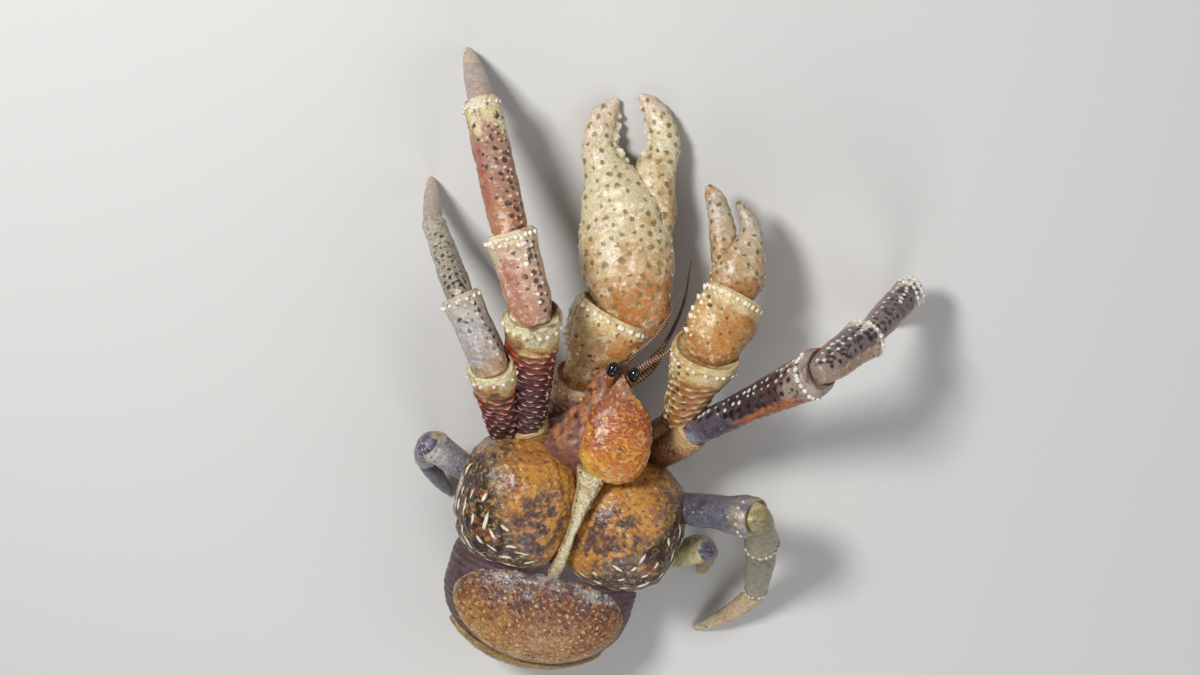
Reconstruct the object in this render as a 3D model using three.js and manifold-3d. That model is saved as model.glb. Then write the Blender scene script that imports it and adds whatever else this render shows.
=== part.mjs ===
// Coconut crab, life size, standing with its claws reached out in front.
// Millimetres, +Z up. The floor is z = 0, and the feet, the fingertips of the
// large claw and the belly of the abdomen rest on it with small flats.
import * as THREE from 'three';
import { mergeVertices } from 'three/addons/utils/BufferGeometryUtils.js';
import Module from 'manifold-3d';

const wasm = await Module();
wasm.setup();

// Clearance between neighbours, and how far a segment's root reaches into the one before it.
const GAP = 0.3;
const SLIVER = 0.14;
const GUARD = GAP + SLIVER;
const DEG = Math.PI / 180;
const FLOOR_SLAB = 80;

// Floor point under the middle of the whole crab, which becomes the origin.
const CENTRE_X = 52.1;
const CENTRE_Y = -36.8;

// The body stands turned to its right, and leans a little to its right side.
const BODY_X = -26;
const BODY_Y = -124;
const BODY_HEADING = 74;
const BODY_ROLL = 5;

const up = new THREE.Vector3(0, 0, 1);
const forward = new THREE.Vector3(Math.cos(BODY_HEADING * DEG), Math.sin(BODY_HEADING * DEG), 0);
const levelRight = new THREE.Vector3().crossVectors(forward, up);
const rightward = levelRight.clone().applyAxisAngle(forward, BODY_ROLL * DEG);
const above = new THREE.Vector3().crossVectors(rightward, forward);

// A point given as distance forward, to the right and above the floor in the body's own frame.
function bodyPoint([ahead, right, height]) {
  return new THREE.Vector3(BODY_X, BODY_Y, 0)
    .addScaledVector(forward, ahead)
    .addScaledVector(rightward, right)
    .addScaledVector(above, height);
}

// A unit vector from a compass heading (0 along +X) and a slope above the floor.
function direction(heading, slope) {
  const level = Math.cos(slope * DEG);
  return new THREE.Vector3(
    level * Math.cos(heading * DEG),
    level * Math.sin(heading * DEG),
    Math.sin(slope * DEG),
  );
}

// A repeatable random source, so that spines and granules always fall in the same places.
function seededRandom(seed) {
  let state = seed;
  return () => {
    state = (state * 1664525 + 1013904223) % 4294967296;
    return state / 4294967296;
  };
}

// Smooth values between rows of [position, first size, second size, ...].
function between(rows, position, column) {
  const last = rows.length - 1;
  let k = 0;
  while (k < last - 1 && position > rows[k + 1][0]) k += 1;
  const slopeAt = (i) => {
    const a = Math.max(i - 1, 0);
    const b = Math.min(i + 1, last);
    return (rows[b][column] - rows[a][column]) / (rows[b][0] - rows[a][0]);
  };
  const span = rows[k + 1][0] - rows[k][0];
  const x = THREE.MathUtils.clamp((position - rows[k][0]) / span, 0, 1);
  const risen = x * x * (3 - 2 * x);
  const start = (x * x * x - 2 * x * x + x) * span * slopeAt(k);
  const finish = (x * x * x - x * x) * span * slopeAt(k + 1);
  return rows[k][column] * (1 - risen) + rows[k + 1][column] * risen + start + finish;
}

// A point on a rounded-square section, with power 2 for an ellipse and more for squarer sides.
function roundSquare(angle, wide, high, power) {
  const c = Math.cos(angle);
  const s = Math.sin(angle);
  return [
    wide * Math.sign(c) * Math.abs(c) ** (2 / power),
    high * Math.sign(s) * Math.abs(s) ** (2 / power),
  ];
}

// Solids from closed meshes, and the joins and cuts between them.
function solidFrom(geometry) {
  const bare = geometry.clone();
  bare.deleteAttribute('normal');
  bare.deleteAttribute('uv');
  const merged = mergeVertices(bare, 1e-4);
  return new wasm.Manifold(new wasm.Mesh({
    numProp: 3,
    vertProperties: new Float32Array(merged.attributes.position.array),
    triVerts: new Uint32Array(merged.index.array),
  }));
}

function largestBody(solid) {
  const bodies = solid.decompose();
  return bodies.reduce((best, body) => (body.volume() > best.volume() ? body : best));
}

function joined(solids) {
  return solids.reduce((whole, piece) => whole.add(piece));
}

function geometryFrom(solid) {
  const mesh = solid.getMesh();
  const geometry = new THREE.BufferGeometry();
  const count = mesh.vertProperties.length / mesh.numProp;
  const positions = new Float32Array(count * 3);
  for (let i = 0; i < count; i += 1) {
    positions[3 * i] = mesh.vertProperties[i * mesh.numProp];
    positions[3 * i + 1] = mesh.vertProperties[i * mesh.numProp + 1];
    positions[3 * i + 2] = mesh.vertProperties[i * mesh.numProp + 2];
  }
  geometry.setAttribute('position', new THREE.BufferAttribute(positions, 3));
  geometry.setIndex(new THREE.BufferAttribute(new Uint32Array(mesh.triVerts), 1));
  geometry.computeVertexNormals();
  return geometry;
}

// A closed mesh from rings of equal count, with one point closing each end.
function closedRings(rings, startPoint, endPoint) {
  const sides = rings[0].length;
  const points = [...rings.flat(), startPoint, endPoint];
  const index = [];
  for (let i = 0; i < rings.length - 1; i += 1) {
    for (let j = 0; j < sides; j += 1) {
      const a = i * sides + j;
      const b = i * sides + (j + 1) % sides;
      index.push(a, b, b + sides, a, b + sides, a + sides);
    }
  }
  const start = points.length - 2;
  const end = points.length - 1;
  const lastRing = (rings.length - 1) * sides;
  for (let j = 0; j < sides; j += 1) {
    const next = (j + 1) % sides;
    index.push(start, next, j, end, lastRing + j, lastRing + next);
  }
  const geometry = new THREE.BufferGeometry();
  const flat = new Float32Array(points.flatMap((p) => [p.x, p.y, p.z]));
  geometry.setAttribute('position', new THREE.BufferAttribute(flat, 3));
  geometry.setIndex(index);
  return geometry;
}

// One place along a lofted limb: its centre and the directions along, to the side and on top.
function loftFrame(form, place) {
  const curve = form.curve;
  const centre = curve.getPointAt(place);
  const along = curve.getTangentAt(place).normalize();
  const side = new THREE.Vector3().crossVectors(along, up).normalize();
  const top = new THREE.Vector3().crossVectors(side, along);
  return { centre, along, side, top };
}

// A point on a loft's skin and the direction that the skin faces there.
function loftSkin(form, place, angle, grow = 0) {
  const frame = loftFrame(form, place);
  const relief = form.ridges ? ridgeRelief(form, place, angle) : 0;
  const wide = between(form.sections, place, 1) + relief + grow;
  const high = between(form.sections, place, 2) + relief + grow;
  const [x, y] = roundSquare(angle, wide, high, form.power ?? 2.3);
  const out = frame.side.clone().multiplyScalar(x / wide / wide)
    .addScaledVector(frame.top, y / high / high).normalize();
  const point = frame.centre.clone().addScaledVector(frame.side, x).addScaledVector(frame.top, y);
  return { point, out, along: frame.along };
}

// Even places along a loft, or pairs of a valley and a crest where it carries cross ridges.
function loftPlaces(form) {
  if (!form.ridges) return Array.from({ length: form.rings + 1 }, (_, i) => i / form.rings);
  const places = [];
  for (let k = 0; k < form.ridges; k += 1) places.push(k / form.ridges, (k + CREST_AT) / form.ridges);
  return [...places, 1];
}

// How far along its own length a cross ridge has its crest.
const CREST_AT = 0.75;

// Height of the cross ridges: each rises slowly towards the limb's far end and drops sharply,
// on the upper side only.
function ridgeRelief(form, place, angle) {
  const phase = (place * form.ridges) % 1;
  const crest = phase < CREST_AT ? phase / CREST_AT : (1 - phase) / (1 - CREST_AT);
  const fade = Math.min(1, 4 * place, 6 * (1 - place));
  return (crest - 0.5) * form.ridgeHeight * fade * Math.max(0, Math.sin(angle) + 0.35);
}

// A limb or horn: sections of named half width and half height carried along a path.
function loft(form, grow = 0) {
  const rings = [];
  const places = loftPlaces(form);
  for (const place of places) {
    const shift = place === 0 ? -grow : (place === 1 ? grow : 0);
    const ring = [];
    for (let j = 0; j < form.sides; j += 1) {
      const skin = loftSkin(form, place, 2 * Math.PI * j / form.sides, grow);
      ring.push(skin.point.addScaledVector(skin.along, shift));
    }
    rings.push(ring);
  }
  const first = loftFrame(form, 0);
  const last = loftFrame(form, 1);
  const dome = form.dome ?? [0, 0];
  const startPoint = first.centre.addScaledVector(first.along, -grow - dome[0]);
  const endPoint = last.centre.addScaledVector(last.along, grow + dome[1]);
  return solidFrom(closedRings(rings.map((ring) => ring.reverse()), startPoint, endPoint));
}

// A rounded body: rings of latitude round an axis, squarer with a higher power.
function dome(form, grow = 0) {
  const { centre, radii, axes, sides, rings } = form;
  const relief = form.relief ?? (() => 0);
  const ringList = [];
  for (let i = 1; i < rings; i += 1) {
    const latitude = Math.PI * (i / rings - 0.5);
    const [level, rise] = roundSquare(latitude, 1, 1, form.power ?? 2);
    const ring = [];
    for (let j = 0; j < sides; j += 1) {
      const around = 2 * Math.PI * j / sides;
      const [a, b] = roundSquare(around, level, level, form.outline ?? 2);
      const more = grow + relief(around, latitude);
      ring.push(centre.clone()
        .addScaledVector(axes[0], a * (radii[0] + more))
        .addScaledVector(axes[1], b * (radii[1] + more))
        .addScaledVector(axes[2], rise * (radii[2] + more)));
    }
    ringList.push(ring);
  }
  const bottom = centre.clone().addScaledVector(axes[2], -radii[2] - grow);
  const top = centre.clone().addScaledVector(axes[2], radii[2] + grow);
  return solidFrom(closedRings(ringList, bottom, top));
}

const bodyAxes = [rightward, forward, above];

// A spine: a low five-sided cone with its root sunk into the skin.
function spine(point, out, length, radius) {
  const sunk = length * 0.6;
  const cone = new THREE.ConeGeometry(radius, length + sunk, 5, 1);
  cone.applyQuaternion(new THREE.Quaternion().setFromUnitVectors(new THREE.Vector3(0, 1, 0), out));
  const middle = point.clone().addScaledVector(out, (length - sunk) / 2);
  cone.translate(middle.x, middle.y, middle.z);
  return solidFrom(cone);
}

// A granule: a small rounded bead, half sunk into the skin.
function granule(point, out, radius) {
  const bead = new THREE.IcosahedronGeometry(radius, 0);
  const middle = point.clone().addScaledVector(out, radius * 0.15);
  bead.translate(middle.x, middle.y, middle.z);
  return solidFrom(bead);
}

// A flat-sided block in body directions, for straight cuts.
function bodyBlock(size, centre) {
  const block = new THREE.BoxGeometry(...size);
  block.applyMatrix4(new THREE.Matrix4().makeBasis(rightward, forward, above));
  const middle = bodyPoint(centre);
  block.translate(middle.x, middle.y, middle.z);
  return solidFrom(block);
}

// Every node keeps its solid, and a slightly larger guard that cuts what must give way to it.
const nodes = new Map();

function addNode(name, paint, solid, guard) {
  nodes.set(name, { paint, solid, guard: guard ?? solid });
}

function addForm(name, paint, make, form, trim = () => []) {
  const solid = joined([make(form), ...trim(form, 0)]);
  addNode(name, paint, solid, joined([make(form, GUARD), ...trim(form, GUARD)]).simplify(SLIVER));
}

// The same, for trim that stands well inside the form's own outline, so its guard needs none.
function addTopped(name, paint, make, form, trim) {
  addNode(name, paint, joined([make(form), ...trim(form)]), make(form, GUARD));
}

// Spines on a loft, in rows: each row has its places along the loft, its angle round it
// (0 on the right, 90 on top) and the length and radius of its spines.
function spineRows(rows) {
  return (form, grow) => rows.flatMap((row) => row.places.map((place, k) => {
    const angle = (Array.isArray(row.angle) ? row.angle[k] : row.angle) * DEG;
    const skin = loftSkin(form, place, angle);
    const lean = skin.out.clone().addScaledVector(skin.along, row.lean ?? 0.3).normalize();
    return spine(skin.point, lean, row.length + grow, row.radius + grow);
  }));
}

function evenly(from, to, count) {
  return Array.from({ length: count }, (_, i) => from + (to - from) * i / (count - 1));
}

function giveWay(name, keepers) {
  const node = nodes.get(name);
  for (const keeper of keepers) {
    node.solid = node.solid.subtract(nodes.get(keeper).guard);
  }
  node.solid = largestBody(node.solid);
}

// Paints: colour, roughness and metalness of each finish.
const PAINT = {
  shield: { color: 0xc2501c, roughness: 0.5 },
  lobe: { color: 0x9a5a26, roughness: 0.5 },
  pale: { color: 0xd9c79a, roughness: 0.55 },
  flesh: { color: 0x5c4038, roughness: 0.75 },
  tergite: { color: 0x8a5a34, roughness: 0.6 },
  claw: { color: 0xd8c090, roughness: 0.5 },
  arm: { color: 0xcf8f4c, roughness: 0.5 },
  leg: { color: 0xb98a63, roughness: 0.5 },
  darkleg: { color: 0x54404c, roughness: 0.5 },
  tip: { color: 0xd0b080, roughness: 0.5 },
  eye: { color: 0x141012, roughness: 0.15 },
  feeler: { color: 0x8c4a30, roughness: 0.6 },
};

// Thorax: the trunk under the shell plates, which carries the limbs and the head.
const THORAX_FRONT = 112;
const THORAX_REAR = -58;
addForm('thorax', 'flesh', loft, {
  curve: new THREE.CatmullRomCurve3([
    bodyPoint([THORAX_REAR, 0, 74]),
    bodyPoint([-10, 0, 76]),
    bodyPoint([50, 0, 76]),
    bodyPoint([THORAX_FRONT, 0, 66]),
  ]),
  sections: [[0, 34, 20], [0.1, 46, 30], [0.35, 56, 38], [0.6, 38, 38], [0.78, 21, 32], [0.93, 15, 22], [1, 11, 16]],
  rings: 8,
  sides: 12,
  power: 2.5,
  dome: [2, 3],
});

// Carapace: a domed shield in front of the neck groove, two inflated lobes behind it,
// and a narrow pale plate between them.
const LOBE = { ahead: -12, out: 42, height: 80, long: 50, wide: 46, tall: 48 };
const LOBE_HEM = 58;
const NECK = 36;
const HEAD_RIGHT = 5;

addForm('carapace_shield', 'shield', loft, {
  curve: new THREE.CatmullRomCurve3([
    bodyPoint([NECK, 8, 117]),
    bodyPoint([60, 12, 115]),
    bodyPoint([86, 9, 107]),
    bodyPoint([110, HEAD_RIGHT, 96]),
  ]),
  sections: [
    [0, 15, 9], [0.08, 22, 13], [0.25, 26, 15], [0.5, 25.5, 14], [0.68, 21, 11],
    [0.78, 13, 8], [0.9, 6, 5], [1, 1.2, 1.2],
  ],
  ridges: 7,
  ridgeHeight: 1.6,
  sides: 14,
  power: 2.2,
});

addForm('carapace_strip', 'pale', loft, {
  curve: new THREE.CatmullRomCurve3([
    bodyPoint([NECK - 1, 1, 118]),
    bodyPoint([10, 0, 120]),
    bodyPoint([-25, -1, 114]),
    bodyPoint([-57, -1, 99]),
  ]),
  sections: [[0, 12, 8], [0.15, 8, 8], [0.5, 3.5, 8], [0.85, 5, 7], [1, 5, 5]],
  rings: 9,
  sides: 8,
  power: 3,
});

for (const [side, sign] of [['l', -1], ['r', 1]]) {
  addForm(`carapace_lobe_${side}`, 'lobe', dome, {
    centre: bodyPoint([LOBE.ahead, sign * LOBE.out, LOBE.height]),
    axes: bodyAxes,
    radii: [LOBE.wide, LOBE.long, LOBE.tall],
    sides: 20,
    rings: 10,
    power: 2.35,
    outline: 2.6,
    relief: (around, latitude) => 1.5 * Math.exp(-((latitude / DEG - 4) ** 2) / 60),
  });
}

// Abdomen: a soft bag that hangs behind the carapace and rests its belly on the floor,
// with one broad granular plate on top and narrower plates wrapped round behind it.
const BAG = { ahead: -101, right: 1, height: 44.8, long: 58, wide: 76, tall: 45.6 };
const WAIST = { from: [-44, 0, 76], to: [-92, 0, 60] };

function bagPoint(across, round, lift) {
  const x = (BAG.wide + lift) * Math.sin(across);
  const level = Math.cos(across);
  return bodyPoint([
    BAG.ahead + (BAG.long + lift) * level * Math.cos(round),
    BAG.right + x,
    BAG.height + (BAG.tall + lift) * level * Math.sin(round),
  ]);
}

const bag = {
  centre: bodyPoint([BAG.ahead, BAG.right, BAG.height]),
  axes: bodyAxes,
  radii: [BAG.wide, BAG.long, BAG.tall],
  sides: 20,
  rings: 10,
};
const waist = {
  curve: new THREE.LineCurve3(bodyPoint(WAIST.from), bodyPoint(WAIST.to)),
  sections: [[0, 44, 20], [0.5, 56, 21], [1, 66, 21]],
  rings: 2,
  sides: 12,
};
addNode('abdomen_soft', 'flesh', joined([dome(bag), loft(waist)]));

// A plate on the bag: rings shrink to its middle, thick at its crown and thin at its rim.
function bagPlate(form, grow = 0) {
  const rings = [];
  const steps = form.steps;
  const ringAt = (share, lift) => {
    const ring = [];
    for (let j = 0; j < form.sides; j += 1) {
      const [a, b] = roundSquare(2 * Math.PI * j / form.sides, share, share, 2.4);
      const across = form.across + a * form.halfAcross + Math.sign(a) * grow / BAG.wide;
      const round = form.round + b * form.halfRound + Math.sign(b) * grow / BAG.long;
      ring.push(bagPoint(across, round, lift));
    }
    return ring;
  };
  rings.push(ringAt(1, -4 - grow));
  for (let i = steps; i >= 1; i -= 1) {
    const share = i / steps;
    rings.push(ringAt(share, form.lift + form.crown * (1 - share ** 4) + grow));
  }
  return solidFrom(closedRings(
    rings.map((ring) => ring.reverse()),
    bagPoint(form.across, form.round, -form.deep - grow),
    bagPoint(form.across, form.round, form.lift + form.crown + grow),
  ));
}

const TERGITES = [
  { name: 'tergite_1', round: 38, halfRound: 9, halfAcross: 44, lift: 1.5, crown: 1.5 },
  {
    name: 'tergite_2', round: 93, halfRound: 44, halfAcross: 62, lift: 2, crown: 5,
    steps: 3, granules: [6, 9, 2.6, 7],
  },
  { name: 'tergite_3', round: 161, halfRound: 18, halfAcross: 54, lift: 2.5, crown: 1.5 },
  { name: 'tergite_4', round: 199, halfRound: 16, halfAcross: 42, lift: 2, crown: 1.5 },
  { name: 'telson', round: 231, halfRound: 12, halfAcross: 17, lift: 1.5, crown: 1 },
];

// Granules in staggered rows over a plate, each a little out of line. The front row, under
// the lobes, stays smooth.
function plateGranules(rows, columns, radius, seed) {
  return (form) => {
    const random = seededRandom(seed);
    const beads = [];
    for (let row = 1; row < rows; row += 1) {
      for (let column = 0; column < columns; column += 1) {
        const a = (2 * (column + 0.25 + 0.5 * (row % 2)) / columns - 1) + 0.04 * (random() - 0.5);
        const b = (2 * (row + 0.5) / rows - 1) + 0.08 * (random() - 0.5);
        const share = Math.hypot(a, b);
        if (share > 0.9) continue;
        const lift = form.lift + form.crown * (1 - share ** 4);
        const across = form.across + a * form.halfAcross;
        const round = form.round + b * form.halfRound;
        const point = bagPoint(across, round, lift);
        const out = bagPoint(across, round, lift + 1).sub(point).normalize();
        beads.push(granule(point, out, radius));
      }
    }
    return beads;
  };
}

for (const plate of TERGITES) {
  const beads = plate.granules ? plateGranules(...plate.granules) : () => [];
  addTopped(plate.name, 'tergite', bagPlate, {
    across: -2 * DEG,
    round: plate.round * DEG,
    halfAcross: plate.halfAcross * DEG,
    halfRound: plate.halfRound * DEG,
    lift: plate.lift,
    crown: plate.crown,
    deep: 0.4 * plate.halfRound,
    steps: plate.steps ?? 2,
    sides: plate.steps ? 20 : 16,
  }, beads);
}

// Limbs: each starts at a root in the thorax, and its segments follow one another by
// length, heading and slope. Sections are [share of length, half width, half height].
const ROOT_SINK = 7;

const LIMBS = {
  claw_l: {
    root: [8, -12, 43],
    segments: [
      { name: 'hip', length: 26, heading: 96, slope: 10, sections: [[0, 12, 12], [0.6, 15, 15], [1, 15, 15]] },
      {
        name: 'merus', length: 61, heading: 72, slope: 18,
        sections: [[0, 11, 12], [0.2, 15, 16], [0.7, 18, 19], [1, 19, 20]],
      },
      {
        name: 'carpus', length: 59, heading: 62, slope: -4,
        spines: [
          { places: Array(7).fill(0.95), angle: evenly(5, 175, 7), length: 3.5, radius: 2.8, lean: 0.9 },
          { places: [0.5, 0.65, 0.8], angle: 160, length: 3.5, radius: 2.8 },
        ],
        sections: [[0, 11, 11], [0.3, 17, 16], [0.6, 28, 25], [0.9, 31, 29], [1, 28, 28]],
      },
    ],
  },
  claw_r: {
    root: [40, 46, 50],
    segments: [
      { name: 'hip', length: 36, heading: 44, slope: 19, sections: [[0, 11, 11], [0.6, 13, 13], [1, 12, 12]] },
      {
        name: 'merus', length: 80, heading: 72, slope: 22,
        sections: [[0, 9, 11], [0.2, 13, 15], [0.6, 19, 19], [0.9, 26, 22], [1, 26, 22]],
      },
      {
        name: 'carpus', length: 47, heading: 61, slope: -20,
        spines: [{ places: Array(5).fill(0.93), angle: evenly(10, 170, 5), length: 3, radius: 2.4, lean: 0.9 }],
        sections: [[0, 14, 14], [0.3, 23, 20], [0.7, 25, 22], [1, 22, 20]],
      },
    ],
  },
  leg_2_l: {
    root: [22, -28, 58],
    segments: [
      { name: 'hip', length: 44, heading: 110, slope: 34, sections: [[0, 11, 11], [0.6, 14, 14], [1, 14, 14]] },
      {
        name: 'merus', length: 117, heading: 87, slope: 28, ridges: 8, ridgeHeight: 3.2,
        sections: [[0, 11, 12], [0.15, 14, 15], [0.6, 18, 17], [0.92, 21, 19], [1, 20, 18]],
      },
      {
        name: 'carpus', length: 61, heading: 106, slope: -13,
        spines: [{ places: evenly(0.4, 0.9, 4), angle: 120, length: 2.6, radius: 2.2 }],
        sections: [[0, 12, 11], [0.2, 16, 15], [0.7, 17, 16], [0.94, 19, 17], [1, 18, 16]],
      },
      {
        name: 'propodus', length: 106, heading: 105, slope: -36,
        sections: [[0, 9, 9], [0.12, 13, 12], [0.5, 14, 13], [0.92, 14, 12], [1, 13, 11]],
      },
      {
        name: 'dactyl', length: 71, heading: 115, slope: -65,
        sections: [[0, 6, 6], [0.12, 9, 9], [0.5, 8.5, 8], [0.85, 5.5, 5], [1, 2, 2]],
      },
    ],
  },
  leg_2_r: {
    root: [38, 54, 58],
    segments: [
      { name: 'hip', length: 44, heading: 42, slope: 21, sections: [[0, 11, 11], [0.6, 14, 14], [1, 14, 14]] },
      {
        name: 'merus', length: 140, heading: 40, slope: 33,
        spines: [{ places: evenly(0.3, 0.94, 8), angle: 105, length: 2.6, radius: 2.2 }],
        sections: [[0, 9, 12], [0.15, 10, 15], [0.6, 12, 18], [0.92, 16, 20], [1, 15, 19]],
      },
      {
        name: 'carpus', length: 57, heading: 17, slope: -47,
        sections: [[0, 9, 11], [0.2, 12, 15], [0.7, 13, 16], [0.94, 15, 17], [1, 14, 16]],
      },
      {
        name: 'propodus', length: 78, heading: 24, slope: -56,
        sections: [[0, 7, 8], [0.12, 9, 12], [0.5, 10, 13], [0.92, 11, 12], [1, 10, 11]],
      },
      {
        name: 'dactyl', length: 60, heading: -110, slope: -45,
        sections: [[0, 5, 5], [0.12, 8, 8], [0.5, 7.5, 7.5], [0.85, 5, 5], [1, 2, 2]],
      },
    ],
  },
  leg_3_l: {
    root: [-2, -30, 52],
    segments: [
      { name: 'hip', length: 40, heading: 122, slope: 17, sections: [[0, 11, 11], [0.6, 14, 14], [1, 13, 13]] },
      {
        name: 'merus', length: 110, heading: 96, slope: 38, ridges: 7, ridgeHeight: 2.8,
        sections: [[0, 10, 11], [0.15, 12, 13], [0.6, 15, 15], [0.92, 18, 16], [1, 17, 15]],
      },
      {
        name: 'carpus', length: 55, heading: 115, slope: -15,
        sections: [[0, 10, 9], [0.2, 14, 13], [0.7, 14, 14], [0.94, 15, 14], [1, 14, 13]],
      },
      {
        name: 'propodus', length: 80, heading: 121, slope: -56,
        sections: [[0, 7, 7], [0.12, 10, 11], [0.5, 9.5, 12], [0.92, 8.5, 10], [1, 8, 9]],
      },
      {
        name: 'dactyl', length: 61, heading: 103, slope: -70,
        sections: [[0, 4.5, 5], [0.12, 7, 8], [0.5, 6.5, 7], [0.85, 4.5, 4.5], [1, 2, 2]],
      },
    ],
  },
  leg_3_r: {
    root: [-2, 44, 54],
    segments: [
      { name: 'hip', length: 31, heading: 1, slope: 28, sections: [[0, 11, 11], [0.6, 13, 13], [1, 13, 13]] },
      {
        name: 'merus', length: 90, heading: 10, slope: 38,
        sections: [[0, 10, 11], [0.15, 11, 13], [0.6, 12, 15], [0.92, 14, 17], [1, 13, 16]],
      },
      {
        name: 'carpus', length: 52, heading: -77, slope: -43,
        sections: [[0, 9, 9], [0.2, 12, 12], [0.7, 12, 13], [0.94, 13, 13], [1, 12, 12]],
      },
      {
        name: 'propodus', length: 88, heading: -91, slope: -42,
        sections: [[0, 8, 7], [0.12, 11, 10], [0.5, 11, 10], [0.92, 9, 8], [1, 8, 8]],
      },
      {
        name: 'dactyl', length: 70, heading: -138, slope: -24, bow: 9,
        sections: [[0, 5, 5], [0.12, 8, 7], [0.5, 7, 6], [0.85, 4.5, 4], [1, 2, 2]],
      },
    ],
  },
  leg_4_l: {
    root: [-34, -24, 50],
    segments: [
      {
        name: 'merus', length: 104, heading: 138, slope: 14,
        sections: [[0, 8, 8], [0.3, 10, 10], [0.7, 10, 11], [0.93, 12, 13], [1, 11, 12]],
      },
      {
        name: 'carpus', length: 35, heading: -109, slope: -48,
        sections: [[0, 8, 8], [0.3, 11, 11], [0.8, 9, 9], [1, 7, 7]],
      },
      {
        name: 'hand', length: 72, heading: -72, slope: -46,
        sections: [[0, 5, 5], [0.2, 7, 7], [0.6, 6, 6], [0.85, 4, 4], [1, 2, 2]],
      },
    ],
  },
  leg_4_r: {
    root: [-66, 52, 54],
    segments: [
      {
        name: 'merus', length: 78, heading: 24, slope: 16,
        sections: [[0, 7, 8], [0.3, 9, 9], [0.7, 9, 10], [0.93, 11, 12], [1, 10, 11]],
      },
      {
        name: 'carpus', length: 31, heading: -62, slope: -58,
        sections: [[0, 7, 7], [0.3, 10, 10], [0.8, 8, 8], [1, 6.5, 6.5]],
      },
      {
        name: 'hand', length: 61, heading: -98, slope: -54,
        sections: [[0, 4.5, 4.5], [0.2, 6.5, 6.5], [0.6, 5.5, 5.5], [0.85, 4, 4], [1, 2, 2]],
      },
    ],
  },
};

const RINGS = { hip: 2, merus: 8, carpus: 6, propodus: 6, dactyl: 7, hand: 6 };
const SIDES = { hip: 8, merus: 11, carpus: 11, propodus: 9, dactyl: 8, hand: 8 };

function limbPaint(limb, segment) {
  if (limb.startsWith('claw')) return 'arm';
  if (segment === 'dactyl' || segment === 'hand') return 'tip';
  return limb === 'leg_3_r' || limb.startsWith('leg_4') ? 'darkleg' : 'leg';
}

for (const [limb, plan] of Object.entries(LIMBS)) {
  let place = bodyPoint(plan.root);
  let previous = null;
  const fineness = limb.startsWith('leg_4') ? 0.7 : 1;
  for (const segment of plan.segments) {
    const toward = direction(segment.heading, segment.slope);
    const start = place.clone().addScaledVector(toward, previous ? -ROOT_SINK : 0);
    const end = place.clone().addScaledVector(toward, segment.length);
    const middle = start.clone().lerp(end, 0.5);
    middle.addScaledVector(new THREE.Vector3().crossVectors(toward, up).normalize(), -(segment.bow ?? 0));
    const curve = segment.bow
      ? new THREE.QuadraticBezierCurve3(start, middle, end)
      : new THREE.LineCurve3(start, end);
    const name = `${limb}_${segment.name}`;
    addForm(name, limbPaint(limb, segment.name), loft, {
      curve,
      sections: segment.sections,
      rings: Math.round(RINGS[segment.name] * fineness),
      sides: Math.round(SIDES[segment.name] * fineness),
      ridges: segment.ridges,
      ridgeHeight: segment.ridgeHeight,
      dome: [2, segment.name === 'dactyl' || segment.name === 'hand' ? 1 : 2],
    }, spineRows(segment.spines ?? []));
    if (previous) giveWay(previous, [name]);
    previous = name;
    place = end;
  }
}

// Claw hands: rows of [distance from the wrist, offset to the right, half width, half height].
function handForm(wrist, slope, rows, rings, sides, power) {
  const toward = direction(90, slope);
  const side = new THREE.Vector3().crossVectors(toward, up).normalize();
  const top = new THREE.Vector3().crossVectors(side, toward);
  const points = rows.map(([ahead, right, , , lift]) => wrist.clone()
    .addScaledVector(toward, ahead)
    .addScaledVector(side, right)
    .addScaledVector(top, lift ?? 0));
  const curve = new THREE.CatmullRomCurve3(points, false, 'centripetal');
  const lengths = [0];
  for (let i = 1; i < points.length; i += 1) {
    lengths.push(lengths[i - 1] + points[i].distanceTo(points[i - 1]));
  }
  const total = lengths[lengths.length - 1];
  const sections = rows.map(([, , wide, high], i) => [lengths[i] / total, wide, high]);
  return { curve, sections, rings, sides, power, dome: [2, 0.6] };
}

// Blunt teeth along the gripping edge of a finger.
function teeth(places, angle, size) {
  return spineRows([{ places, angle, length: size, radius: size, lean: 0 }]);
}

const HAND_L = {
  palmDetail: [14, 12, 2.3],
  palmTeeth: [0.76, 0.83, 0.9],
  fingerTeeth: [0.6, 0.7, 0.8],
  tooth: 3,
  wrist: [30, 0, 67],
  slope: -20.5,
  palm: [
    [0, 4, 14, 12], [10, 2, 23, 19], [28, -3, 29, 24], [56, -9, 36, 27], [90, -13, 33, 25],
    [112, -20, 26, 20], [128, -26, 17, 15], [140, -30, 13.5, 13], [152, -31, 12, 11],
    [168, -26, 10, 8.5], [181, -17, 3, 3],
  ],
  finger: [
    [74, 22, 3, 7], [88, 19, 9, 13], [104, 15, 13, 16], [124, 12.5, 15.5, 15], [138, 18, 12.5, 13.5],
    [152, 19.5, 11, 11.5], [166, 15, 10, 9.5], [177, 8, 6.5, 6.5], [184, 2, 2.5, 2.5],
  ],
};
const HAND_R = {
  palmDetail: [11, 11, 2.3],
  palmTeeth: [0.9],
  fingerTeeth: [0.62, 0.72, 0.82],
  tooth: 1.4,
  wrist: [103, 31, 70],
  slope: -18,
  palm: [
    [0, 0, 15, 12], [8, 0, 20, 16], [20, 2, 20, 17], [34, 6.5, 15.5, 15], [48, 10, 9, 12],
    [60, 8.5, 6.5, 9], [68, 4.5, 4, 6], [73, 1, 1.8, 2.5],
  ],
  finger: [
    [20, -12, 3, 6], [30, -12, 7, 9], [46, -10, 10, 10.5], [60, -11.5, 9, 9], [70, -14, 8, 7.5],
    [79, -18, 6, 5], [85, -21.5, 2.5, 2.5],
  ],
};

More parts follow.
